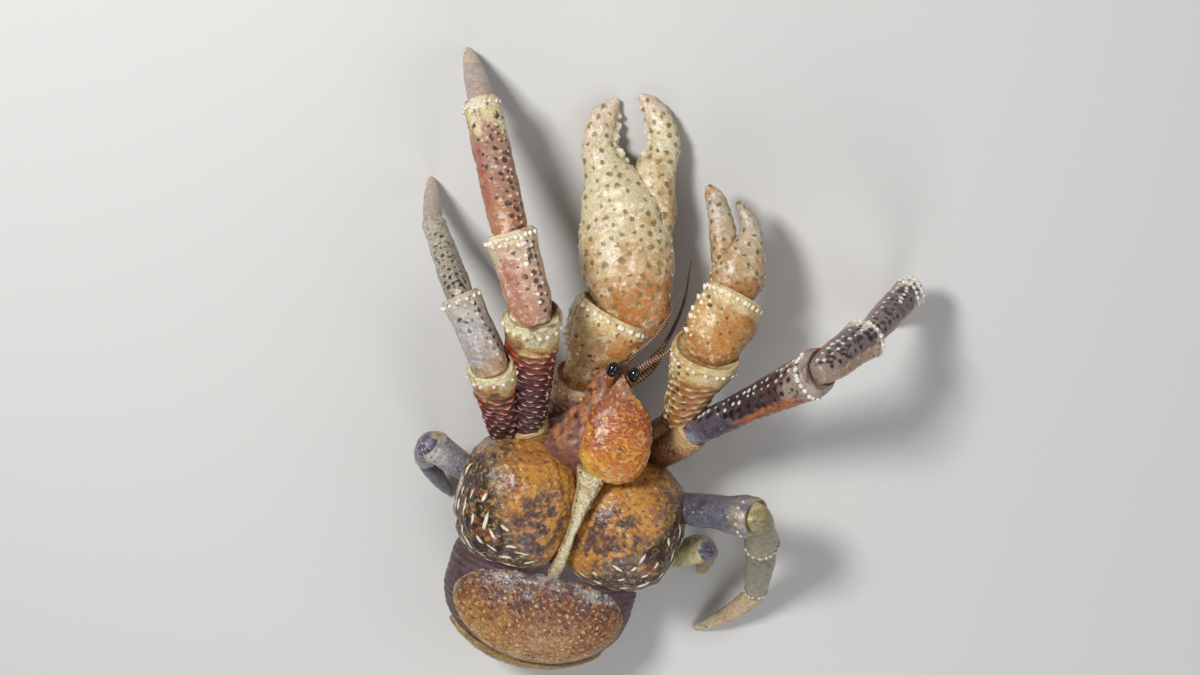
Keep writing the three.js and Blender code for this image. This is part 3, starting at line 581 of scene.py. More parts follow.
def shell_finish(
    name, bands, under, streak, dark, pale, accent=None, patch=None,
    streaks=0.5, dot_scale=150, dot_size=0.0, valley_shade=1.0, roughness=0.36, blotch=55,
):
    """A shell finish. The colour runs through the bands along the piece, with the under colour below,
    then large patches, streaks, an accent, dark dots and spots, painted shade in the valleys of the
    relief, and pale crests."""
    paint = Paint(name)
    cloud = paint.noise(blotch, 5.0, 0.6)
    shift = paint.times(paint.plus(cloud, -0.5), 0.8)
    paint.banded(paint.plus(paint.mask("along"), shift), bands)
    paint.lay(under, paint.ranged(paint.plus(paint.mask("top"), cloud), 0.42, -0.15), 1.0)
    if patch:
        paint.lay(patch, paint.ranged(paint.noise(blotch * 0.8, 6.0, 0.9), 0.52, 0.66), 0.8)
    paint.lay(streak, paint.ranged(paint.noise(blotch * 2.2, 6.0, 1.6), 0.5, 0.64), streaks)
    if accent:
        stain = paint.mask("accent")
        torn = paint.times(paint.plus(paint.noise(110, 6.0, 0.9), -0.5), 2.4)
        paint.lay(accent, paint.ranged(paint.plus(stain, torn), 0.45, 1.25), stain)
    if dot_size:
        paint.lay(dark, paint.dots(dot_scale, dot_size), 0.85)
    ragged = paint.plus(paint.noise(380, 4.0), -0.55)
    spot = paint.plus(paint.mask("spot"), paint.times(ragged, 1.4))
    crest = paint.plus(paint.mask("crest"), ragged)
    worn = paint.plus(paint.mask("stud"), paint.times(ragged, 0.6))
    paint.lay(dark, paint.ranged(spot, 0.12, 0.8), 0.92)
    # Painted shade: the dark colour laid where the crest mask is low, in the valleys of the relief and in
    # ragged patches.
    paint.lay(dark, paint.ranged(crest, -0.05, -0.75), valley_shade)
    paint.lay(pale, paint.ranged(crest, 0.25, 0.9), 0.75)
    paint.lay(pale, paint.ranged(worn, 0.2, 0.85), 0.9)
    speckle = paint.times(paint.ranged(paint.noise(520, 3.0), 0.3, 0.72), 0.4)
    shade = paint.mixed(speckle, (1, 1, 1, 1), SPECKLE_TINT)
    tone = paint.mixed(1.0, paint.colour, shade, blend_type="MULTIPLY")
    gloss = {"Value": cloud, "To Min": roughness - 0.1, "To Max": roughness + 0.16}
    fine = paint.plus(paint.noise(900, 5.0), paint.noise(260, 3.0, 0.8))
    bump = {"Height": fine, "Strength": GRAIN, "Distance": GRAIN_DEPTH}
    shader = paint.tree.nodes["Principled BSDF"]
    paint.tree.links.new(tone, shader.inputs["Base Color"])
    paint.tree.links.new(paint.node("ShaderNodeMapRange", gloss).outputs[0], shader.inputs["Roughness"])
    paint.tree.links.new(paint.node("ShaderNodeBump", bump).outputs[0], shader.inputs["Normal"])
    shader.inputs["Coat Weight"].default_value = COAT_WEIGHT
    shader.inputs["Coat Roughness"].default_value = COAT_ROUGHNESS
    return paint.material


print("shell finish ready")

# %% [markdown]
# ## The colours of each kind of shell
# Bands are colours by place along the piece. The other colours lie over them: the underside, pale or
# dark streaks, the dark of dots and spots, which also paints the shade in the valleys, the pale of
# worn crests, a stain and large patches.
# %% Colours
COLOURS = {
    "big claw": dict(
        bands={0.0: "#ac7440", 0.2: "#c49e6a", 0.4: "#d2be94", 0.75: "#d9cba6", 1.0: "#dcc4ae"},
        under="#c9a878", streak="#efe8d2", dark="#7c6a3e", pale="#f7f1de", accent="#b4783e",
        patch="#c4a266",
    ),
    "small claw": dict(
        bands={0.0: "#ac7c48", 0.25: "#bc9a6e", 0.6: "#c0ae90", 0.85: "#b8ab98", 1.0: "#b88a44"},
        under="#c29a66", streak="#e4d8bc", dark="#6e5638", pale="#f4ecd6", accent="#b07c48",
        patch="#b4905e",
    ),
    "claw wrist": dict(
        bands={0.0: "#b0743c", 0.35: "#c69a5c", 0.7: "#cfae74", 1.0: "#dcc690"},
        under="#b98a4e", streak="#e9d9ae", dark="#4a3424", pale="#f7f0dc", accent="#c0803e",
        patch="#a8763c", streaks=0.55, dot_size=0.3, valley_shade=0.45,
    ),
    "claw arm": dict(
        bands={0.0: "#8f5a4a", 0.45: "#b8785c", 0.8: "#c89a70", 1.0: "#d8bc90"},
        under="#b08858", streak="#7a4058", dark="#2c1a20", pale="#e6c8a2", accent="#b8602c",
        patch="#c89a78", streaks=0.75, dot_size=0.2, valley_shade=0.5,
    ),
    "red arm": dict(
        bands={0.0: "#5c5450", 0.2: "#4e2a26", 0.5: "#662420", 0.68: "#9c3c20", 0.77: "#b86a38",
               0.82: "#c9a862", 0.95: "#d8cfa2"},
        under="#b8946a", streak="#7c3428", dark="#2a1216", pale="#f2ddd0", patch="#4a2026", valley_shade=0.7,
    ),
    "pink wrist": dict(
        bands={0.0: "#b4886a", 0.4: "#c0937a", 0.8: "#caae90", 1.0: "#dccfa4"},
        under="#c2aa86", streak="#e2d2bc", dark="#3c2a28", pale="#f6efe0", accent="#a8705a",
        patch="#ac7250", streaks=0.65, dot_size=0.26,
    ),
    "pink shin": dict(
        bands={0.0: "#b07a4c", 0.4: "#a47c68", 0.72: "#a8826a", 0.86: "#d6c698", 1.0: "#e2dabc"},
        under="#c2a484", streak="#94584a", dark="#3c2c2a", pale="#e8dccc", accent="#a4604a",
        patch="#b07c48", streaks=0.55, dot_scale=165, dot_size=0.32,
    ),
    "grey wrist": dict(
        bands={0.0: "#b08658", 0.2: "#a89a8c", 0.6: "#a9a3a2", 0.9: "#bcb098"},
        under="#b8a68c", streak="#d2ccc6", dark="#35302f", pale="#ece7dc", patch="#8a8690", streaks=0.55,
        dot_scale=190, dot_size=0.34,
    ),
    "speckled shin": dict(
        bands={0.0: "#8f8270", 0.5: "#a39a88", 0.9: "#b5aa94"},
        under="#b5aa92", streak="#c6bfb0", dark="#171416", pale="#ece5d4", patch="#8c8480", streaks=0.45,
        dot_scale=250, dot_size=0.42,
    ),
    "foot": dict(
        bands={0.0: "#b09a88", 0.6: "#b9a89c", 0.9: "#ccb496"},
        under="#b9a48c", streak="#8c7c70", dark="#6a584c", pale="#eee4d2", patch="#c6b6ac", streaks=0.6,
    ),
    "dark arm": dict(
        bands={0.0: "#8d8e9c", 0.22: "#5e5662", 0.45: "#3a2c32", 0.8: "#4e3230", 0.95: "#a89684"},
        under="#9a4420", streak="#6e6876", dark="#140e12", pale="#f0ece2", accent="#b06434",
        patch="#2c2226", streaks=0.35, dot_scale=190, dot_size=0.3,
    ),
    "dark shin": dict(
        bands={0.0: "#9c8678", 0.4: "#7e6c6a", 0.75: "#6e5e62", 0.97: "#d4ccba"},
        under="#b89c80", streak="#8c7c7c", dark="#201619", pale="#f2ece0", accent="#c2a080",
        patch="#4c3e44", dot_scale=170, dot_size=0.36,
    ),
    "dusky arm": dict(
        bands={0.0: "#44404a", 0.6: "#5e5c68", 0.85: "#7a7680", 1.0: "#b0a484"},
        under="#a8885c", streak="#7c7a86", dark="#221c24", pale="#cfc9c6", patch="#4a4854", streaks=0.6,
    ),
    "grey shin": dict(
        bands={0.0: "#9c8c54", 0.3: "#8f8a70", 0.85: "#a09a7c", 1.0: "#c8c0a0"},
        under="#b0a480", streak="#726c5c", dark="#403a3a", pale="#d8d3c0", patch="#7e7a68", streaks=0.6,
        dot_scale=120, dot_size=0.3,
    ),
    "cream foot": dict(
        bands={0.0: "#b0a47c", 0.5: "#c4b08c", 0.9: "#dccfb2"},
        under="#b08a5c", streak="#a87c50", dark="#6a4c34", pale="#eee4d0", patch="#a08c68", dot_size=0.3,
    ),
    "blue knob": dict(
        bands={0.0: "#565060", 0.4: "#6e6c7c", 0.8: "#8e8c90", 1.0: "#b8b2a0"},
        under="#a89a74", streak="#9a98a8", dark="#1f1b22", pale="#e0dcd2", patch="#5a5668", streaks=0.6,
        dot_scale=220, dot_size=0.36,
    ),
    "straw": dict(
        bands={0.0: "#8f6a3c", 0.5: "#a08c58", 0.9: "#c0b684"},
        under="#945828", streak="#bfb48a", dark="#4a3a26", pale="#dcd6b6", patch="#8a7440",
    ),
    "hip": dict(
        bands={0.0: "#6c4434", 0.5: "#a0683e", 0.9: "#c09c6c"},
        under="#96704e", streak="#d0a878", dark="#241616", pale="#e0c8a0", patch="#6c3c34", streaks=0.6,
        blotch=90,
    ),
    "shield": dict(
        bands={0.0: "#c08430", 0.25: "#bc6c20", 0.55: "#a8541e", 0.78: "#9a5a3c", 1.0: "#b8927c"},
        under="#8a4a26", streak="#dea850", dark="#64301c", pale="#eccb9a", accent="#dcb04c",
        patch="#8a3a1c", streaks=0.7, blotch=62,
    ),
    "strip": dict(
        bands={0.0: "#b8a878", 0.4: "#d0c49c", 0.7: "#c8bc94", 1.0: "#a89872"},
        under="#7c3c26", streak="#ece4c6", dark="#6a3022", pale="#f0e8d0", patch="#a88a5c", streaks=0.7,
        blotch=110,
    ),
    "lobe": dict(
        bands={0.0: "#c0863a", 0.16: "#b07236", 0.32: "#92703f", 0.45: "#6a5238", 0.58: "#34261d",
               0.95: "#241712"},
        under="#4c362a", streak="#d4a458", dark="#40303a", pale="#f4ead0", accent="#a09882",
        patch="#7a4a30", streaks=0.55, blotch=78,
    ),
    "back plate": dict(
        bands={0.0: "#b8bab8", 0.1: "#9c969a", 0.2: "#6a4c4c", 0.34: "#6a4438", 0.48: "#8a5630",
               0.75: "#a67840", 1.0: "#bca070"},
        under="#9c9070", streak="#c69656", dark="#241518", pale="#ead4a4", accent="#b4b49c",
        patch="#84481f", streaks=0.55, blotch=85,
    ),
    "rear plate": dict(
        bands={0.0: "#8a6c3c", 0.5: "#bc9858", 0.9: "#dcc48c"},
        under="#c8a868", streak="#8a5c3c", dark="#3a241c", pale="#ecdcb0", patch="#9a7444",
    ),
    "skin": dict(
        bands={0.0: "#5c4640", 0.35: "#4f363c", 0.6: "#6e4438", 1.0: "#8a5a44"},
        under="#8f6e58", streak="#6e505a", dark="#2c1a22", pale="#b8988a", accent="#bc7c4c",
        patch="#4a2e34", roughness=0.5,
    ),
    "mouth": dict(
        bands={0.0: "#6e3a24", 0.5: "#96562e", 0.95: "#c09460"},
        under="#946440", streak="#b8763c", dark="#241214", pale="#dcc49a", patch="#5c2e22",
    ),
    "feeler": dict(
        bands={0.0: "#6e4030", 0.5: "#7c5038", 0.95: "#6e4c3c"},
        under="#5c3a2c", streak="#9c744c", dark="#2c1814", pale="#c8a684", valley_shade=0.8,
    ),
}
FINISHES = {name: shell_finish(name, **colours) for name, colours in COLOURS.items()}
print(len(FINISHES), "shell finishes")

# %% [markdown]
# ## One length of limb
# A crab's limb is a row of hard tubes. Each starts narrow inside the one before, swells, and ends
# in a pale collar that turns in to a shallow socket, where the next length comes out. So one
# function makes every length: a rounded root, the tube, and then a collar or a point.
# %% Limb surface
ROW_PITCH = 0.85
SIDE_PITCH = 0.95
FEWEST_SIDES, MOST_SIDES = 24, 200
ROOT_DEPTH = 3
LIP = 1.3
SOCKET = 4.0


def limb_rows(length, tip):
    """Rows along a limb as place on the path, shift along it, share of the size, and inset. The root
    is a quarter ellipse, the collar half a circle, and the socket narrows to its floor."""
    quarter = np.linspace(0, np.pi / 2, 7)[1:-1]
    place = np.linspace(0, 1, max(int(length / ROW_PITCH), 12))
    half = np.linspace(0, np.pi, 8)[1:]
    deep = np.linspace(0, 1, 5)[1:]
    root = [0 * quarter, -ROOT_DEPTH * np.cos(quarter), np.sin(quarter), 0 * quarter]
    tube = [place, 0 * place, 0 * place + 1, 0 * place]
    point = [0 * quarter + 1, tip * np.sin(quarter), np.cos(quarter), 0 * quarter]
    lip = [0 * half + 1, LIP * np.sin(half), 0 * half + 1, LIP * (1 - np.cos(half))]
    socket = [0 * deep + 1, -SOCKET * deep, 1 - 0.5 * deep, 0 * deep + 2 * LIP]
    rows = np.concatenate([root, tube, point] if tip else [root, tube, lip, socket], axis=1)
    return rows, slice(len(quarter), len(quarter) + len(place)), tip or -SOCKET


def limb_surface(path, sizes, length, tip=0.0, power=2.3):
    """A grid of rings round a path. Each ring is a rounded square whose half width and half height
    come from the rows of sizes at its place, with its side level and its top upwards."""
    (place, shift, share, inset), tube, end_shift = limb_rows(length, tip)
    centre, ahead = walk(path, place)
    side = unit(np.cross(ahead, UP))
    top = np.cross(side, ahead)
    size = smooth_rows(sizes, place) * MM
    sides = int(np.clip(2 * np.pi * size.max() / MM / SIDE_PITCH, FEWEST_SIDES, MOST_SIDES))
    angle = 2 * np.pi * np.arange(sides) / sides
    c, s = rounded_square(angle, power)
    wide, high = (np.maximum(size[:, n] * share - inset * MM, 0)[:, None] for n in (0, 1))
    points = (centre + ahead * shift[:, None] * MM)[:, None]
    points = points + side[:, None] * (wide * c)[..., None] + top[:, None] * (high * s)[..., None]
    start = centre[0] - ahead[0] * ROOT_DEPTH * MM
    end = centre[-1] + ahead[-1] * end_shift * MM
    return dict(points=points, start=start, end=end, place=place, angle=angle, tube=tube, axis=ahead)


print("limb surface ready")

# %% [markdown]
# ## Places and patterns on a limb
# On the crab the studs and dots run in rows along a limb, the grain is scattered over its upper
# side, and the thighs have rows of overlapping scales. All of them are given by place along the
# limb and angle round it, so they follow the limb wherever it points.
# %% Limb patterns
RIDGE_TURN = 0.8
RIDGE_TOP, RIDGE_FLOOR = 2.3, 0.9


def spots_on(surface, row):
    """Points in a row on a limb: evenly spaced in place and in angle, each a little out of line."""
    start, stop, count, angle_from, angle_to = row[:5]
    random = np.random.default_rng(int(1000 * start + 10 * count + abs(angle_from)))
    place = np.linspace(start, stop, count) + random.uniform(-0.3, 0.3, count) * (stop - start) / count
    angle = np.linspace(angle_from, angle_to, count) + random.uniform(-5, 5, count)
    tube, sides = surface["tube"], len(surface["angle"])
    last = tube.stop - tube.start - 1
    i = tube.start + np.clip(place * last, 0, last).astype(int)
    j = np.round(angle / 360 * sides).astype(int) % sides
    return i, j


def spread_on(surface, spacing, top_from, seed, most=260):
    """Places scattered over the tube of a limb, where the sine of the angle is over top_from."""
    upper = np.sin(surface["angle"]) > top_from
    return scattered(surface["points"][surface["tube"]][:, upper], spacing * MM, seed, most)


def cross_ridges(surface, count, slant, seed):
    """Overlapping scales in rows across a limb: each row rises slowly towards the far end and then
    drops. The rows slant, waver from side to side, and are cut into teeth."""
    place = np.clip(surface["place"], 0, 1)[:, None]
    angle = surface["angle"][None]
    waver = 0.24 * np.sin(2 * angle + seed) + 0.14 * np.sin(5 * angle + 2 * seed)
    waver = waver + 0.07 * np.sin(17 * angle)
    phase = place * count - slant * np.cos(angle) + waver
    row = np.floor(phase)
    saw = phase - row
    rise = np.where(saw < RIDGE_TURN, (saw / RIDGE_TURN) ** 2.6, (1 - saw) / 0.2)
    teeth = 0.66 + 0.34 * np.sin(11 * angle + 2.4 * row + 0.8 * np.sin(3 * angle + row))
    upper = soft_step(np.sin(angle), -0.75, 0.1)
    ends = soft_step(place, 0.02, 0.12) * soft_step(place, 0.84, 0.72)
    return (RIDGE_TOP * rise * teeth - RIDGE_FLOOR) * upper * ends


def window(surface, start, stop, angle_from, angle_to):
    """1 inside a stretch of a limb between two places and two angles, with soft edges."""
    place = np.clip(surface["place"], 0, 1)[:, None]
    angle = np.degrees(surface["angle"])[None]
    away = np.abs((angle - (angle_from + angle_to) / 2 + 180) % 360 - 180)
    reach = (angle_to - angle_from) / 2
    inside = soft_step(place, start - 0.05, start + 0.05) * soft_step(place, stop + 0.05, stop - 0.05)
    return inside * soft_step(away, reach + 16, reach - 4)


print("limb patterns ready")

# %% [markdown]
# ## Relief and spots of a limb
# A look is a small dictionary that says which patterns a limb has. The relief adds up what each
# pattern pushes out, and notes where crests and studs are, because the finish paints those pale, and
# where the valleys between ridges and rings are, because the finish paints shade into them.
# %% Limb relief
CAP_SINK, CAP_RISE = 0.2, 0.62
RING_RISE = 0.16
RIM_PLACE, RIM_WIDTH = 0.965, 0.022
SPOT_TEAR = 0.005


def limb_relief(surface, normals, look, seed):
    """How far each point of a limb is pushed out, in millimetres, with the crest and stud masks:
    waves, then ridges or rings, rows of studs, a grain of small beads, and a raised rim."""
    points, along = surface["points"], surface["place"][:, None]
    fade = np.where((along > 0) & (along < 1), 1.0, 0.35)
    lift = waves(points, 0.022, seed) * look.get("wave", 0.35) * fade
    crest = np.zeros(points.shape[:2])
    stud = np.zeros(points.shape[:2])
    # Ridges and rings leave the crest mask low in their valleys, where the finish paints shade.
    if "ridges" in look:
        count, height, slant = look["ridges"]
        crest = cross_ridges(surface, count, slant, seed % 7)
        lift = lift + crest * height
    if "rings" in look:
        crest = crest + np.cos(2 * np.pi * look["rings"] * along)
        lift = lift + crest * RING_RISE
    for row in look.get("studs", []):
        i, j = spots_on(surface, row)
        radii = row[5] * MM * np.random.default_rng(seed).uniform(0.6, 1.25, len(i))
        caps = beads(points, points[i, j] - normals[i, j] * CAP_SINK * MM, radii)
        lift = lift + caps * row[5] * CAP_RISE
        stud = np.maximum(stud, caps)
    if "grain" in look:
        spacing, radius, height, top_from, whiteness = look["grain"]
        centres = spread_on(surface, spacing, top_from, seed)
        caps = beads(points, centres, np.full(len(centres), radius * MM))
        lift = lift + caps * height
        stud = np.maximum(stud, caps * whiteness)
    rim = look.get("rim", 0.0) * np.exp(-(((along - RIM_PLACE) / RIM_WIDTH) ** 2))
    return lift + rim, crest, stud


def limb_spots(surface, look, seed):
    """The mask of dark spots on a limb: rows of spots and scattered freckles, with torn edges."""
    points = surface["points"]
    spot = np.zeros(points.shape[:2])
    for row in look.get("spots", []):
        i, j = spots_on(surface, row)
        radii = row[5] * MM * np.random.default_rng(seed + 1).uniform(0.6, 1.45, len(i))
        spot = np.maximum(spot, beads(points, points[i, j], radii))
    if "freckles" in look:
        spacing, radius = look["freckles"]
        centres = spread_on(surface, spacing, -0.3, seed + 6)
        radii = radius * MM * np.random.default_rng(seed).uniform(0.6, 1.2, len(centres))
        spot = np.maximum(spot, 0.85 * beads(points, centres, radii))
    return np.clip(spot + 0.4 * waves(points, SPOT_TEAR, seed + 4) * (spot > 0), 0, 1)


def dress_limb(node, surface, look):
    """A limb piece: its smooth surface pushed out along its own direction by the relief, with the
    masks for its finish, and spines joined on."""
    name = f"{node}_shell"
    seed = sum(map(ord, name))
    normals = grid_normals(surface["points"])
    lift, crest, stud = limb_relief(surface, normals, look, seed)
    spot = limb_spots(surface, look, seed)
    accent = np.zeros(spot.shape)
    for row in look.get("accents", []):
        accent = np.maximum(accent, window(surface, *row))
    points = surface["points"] + normals * (lift * MM)[..., None]
    parts = [closed_stack(
        points, surface["start"], surface["end"], along=np.clip(surface["place"], 0, 1)[:, None],
        top=np.sin(surface["angle"])[None], crest=crest, stud=stud, spot=spot * (1 - stud), accent=accent,
    )]
    for row in look.get("spines", []):
        i, j = spots_on(surface, row)
        size, width, lean, whiteness = row[5:]
        lengths = size * MM * np.random.default_rng(seed + 2).uniform(0.75, 1.2, len(i))
        directions = normals[i, j] + lean * surface["axis"][i]
        whites = dict(along=1.0, top=1.0, stud=whiteness)
        parts.append(cones(points[i, j], directions, lengths, width * MM, **whites))
    add_piece(name, parts, FINISHES[look["finish"]], [node])


print("limb tools ready")

# %% [markdown]
# ## The limbs' plan
# Each limb starts at a root in the trunk, and its lengths follow one another by length, compass
# heading and slope, in millimetres and degrees. The rows of sizes are [share of the length, half
# width, half height]. The first pair of limbs carries the claws, the next two are walking legs,
# and the fourth pair is small and ends in a knob with a tiny pincer.
# %% Limb plan
ROOT_SINK = 7
PLAN = {
    "claw_l": ((8, -12, 43), [
        ("hip", 26, 96, 10, [[0, 12, 12], [0.6, 15, 15], [1, 15, 15]]),
        ("merus", 61, 72, 18, [[0, 11, 12], [0.2, 15, 16], [0.7, 18, 19], [1, 19, 20]]),
        ("carpus", 59, 62, -4, [[0, 11, 11], [0.3, 17, 16], [0.6, 28, 25], [0.9, 31, 29], [1, 28, 28]]),
    ]),
    "claw_r": ((40, 46, 50), [
        ("hip", 36, 44, 19, [[0, 11, 11], [0.6, 13, 13], [1, 12, 12]]),
        ("merus", 80, 72, 22, [[0, 9, 11], [0.2, 13, 15], [0.6, 19, 19], [0.9, 26, 22], [1, 26, 22]]),
        ("carpus", 47, 61, -20, [[0, 14, 14], [0.3, 23, 20], [0.7, 25, 22], [1, 22, 20]]),
    ]),
    "leg_2_l": ((22, -28, 58), [
        ("hip", 44, 110, 34, [[0, 11, 11], [0.6, 14, 14], [1, 14, 14]]),
        ("merus", 117, 87, 28, [[0, 11, 12], [0.15, 14, 15], [0.6, 18, 17], [0.92, 21, 19], [1, 20, 18]]),
        ("carpus", 61, 106, -13, [[0, 12, 11], [0.2, 16, 15], [0.7, 17, 16], [0.94, 19, 17], [1, 18, 16]]),
        ("propodus", 106, 105, -36, [[0, 9, 9], [0.12, 13, 12], [0.5, 14, 13], [0.92, 14, 12], [1, 13, 11]]),
        ("dactyl", 71, 115, -65, [[0, 6, 6], [0.12, 9, 9], [0.5, 8.5, 8], [0.85, 5.5, 5], [1, 2, 2]]),
    ]),
    "leg_2_r": ((38, 54, 58), [
        ("hip", 44, 42, 21, [[0, 11, 11], [0.6, 14, 14], [1, 14, 14]]),
        ("merus", 140, 40, 33, [[0, 9, 12], [0.15, 10, 15], [0.6, 12, 18], [0.92, 16, 20], [1, 15, 19]]),
        ("carpus", 57, 17, -47, [[0, 9, 11], [0.2, 12, 15], [0.7, 13, 16], [0.94, 15, 17], [1, 14, 16]]),
        ("propodus", 78, 24, -56, [[0, 7, 8], [0.12, 9, 12], [0.5, 10, 13], [0.92, 11, 12], [1, 10, 11]]),
        ("dactyl", 60, -110, -45, [[0, 5, 5], [0.12, 8, 8], [0.5, 7.5, 7.5], [0.85, 5, 5], [1, 2, 2]]),
    ]),
    "leg_3_l": ((-2, -30, 52), [
        ("hip", 40, 122, 17, [[0, 11, 11], [0.6, 14, 14], [1, 13, 13]]),
        ("merus", 110, 96, 38, [[0, 10, 11], [0.15, 12, 13], [0.6, 15, 15], [0.92, 18, 16], [1, 17, 15]]),
        ("carpus", 55, 115, -15, [[0, 10, 9], [0.2, 14, 13], [0.7, 14, 14], [0.94, 15, 14], [1, 14, 13]]),
        ("propodus", 80, 121, -56, [[0, 7, 7], [0.12, 10, 11], [0.5, 9.5, 12], [0.92, 8.5, 10], [1, 8, 9]]),
        ("dactyl", 61, 103, -70, [[0, 4.5, 5], [0.12, 7, 8], [0.5, 6.5, 7], [0.85, 4.5, 4.5], [1, 2, 2]]),
    ]),
    "leg_3_r": ((-2, 44, 54), [
        ("hip", 31, 1, 28, [[0, 11, 11], [0.6, 13, 13], [1, 13, 13]]),
        ("merus", 90, 10, 38, [[0, 10, 11], [0.15, 11, 13], [0.6, 12, 15], [0.92, 14, 17], [1, 13, 16]]),
        ("carpus", 52, -77, -43, [[0, 9, 9], [0.2, 12, 12], [0.7, 12, 13], [0.94, 13, 13], [1, 12, 12]]),
        ("propodus", 88, -91, -42, [[0, 8, 7], [0.12, 11, 10], [0.5, 11, 10], [0.92, 9, 8], [1, 8, 8]]),
        ("dactyl", 70, -138, -24, [[0, 5, 5], [0.12, 8, 7], [0.5, 7, 6], [0.85, 4.5, 4], [1, 2, 2]]),
    ]),
    "leg_4_l": ((-34, -24, 50), [
        ("merus", 104, 138, 14, [[0, 8, 8], [0.3, 10, 10], [0.7, 10, 11], [0.93, 12, 13], [1, 11, 12]]),
        ("carpus", 35, -109, -48, [[0, 8, 8], [0.3, 11, 11], [0.8, 9, 9], [1, 7, 7]]),
        ("hand", 72, -72, -46, [[0, 5, 5], [0.2, 7, 7], [0.6, 6, 6], [0.85, 4, 4], [1, 2, 2]]),
    ]),
    "leg_4_r": ((-66, 52, 54), [
        ("merus", 78, 24, 16, [[0, 7, 8], [0.3, 9, 9], [0.7, 9, 10], [0.93, 11, 12], [1, 10, 11]]),
        ("carpus", 31, -62, -58, [[0, 7, 7], [0.3, 10, 10], [0.8, 8, 8], [1, 6.5, 6.5]]),
        ("hand", 61, -98, -54, [[0, 4.5, 4.5], [0.2, 6.5, 6.5], [0.6, 5.5, 5.5], [0.85, 4, 4], [1, 2, 2]]),
    ]),
}
BOWED = {"leg_3_r_dactyl": 9}
print(sum(len(lengths) for _, lengths in PLAN.values()), "lengths of limb")

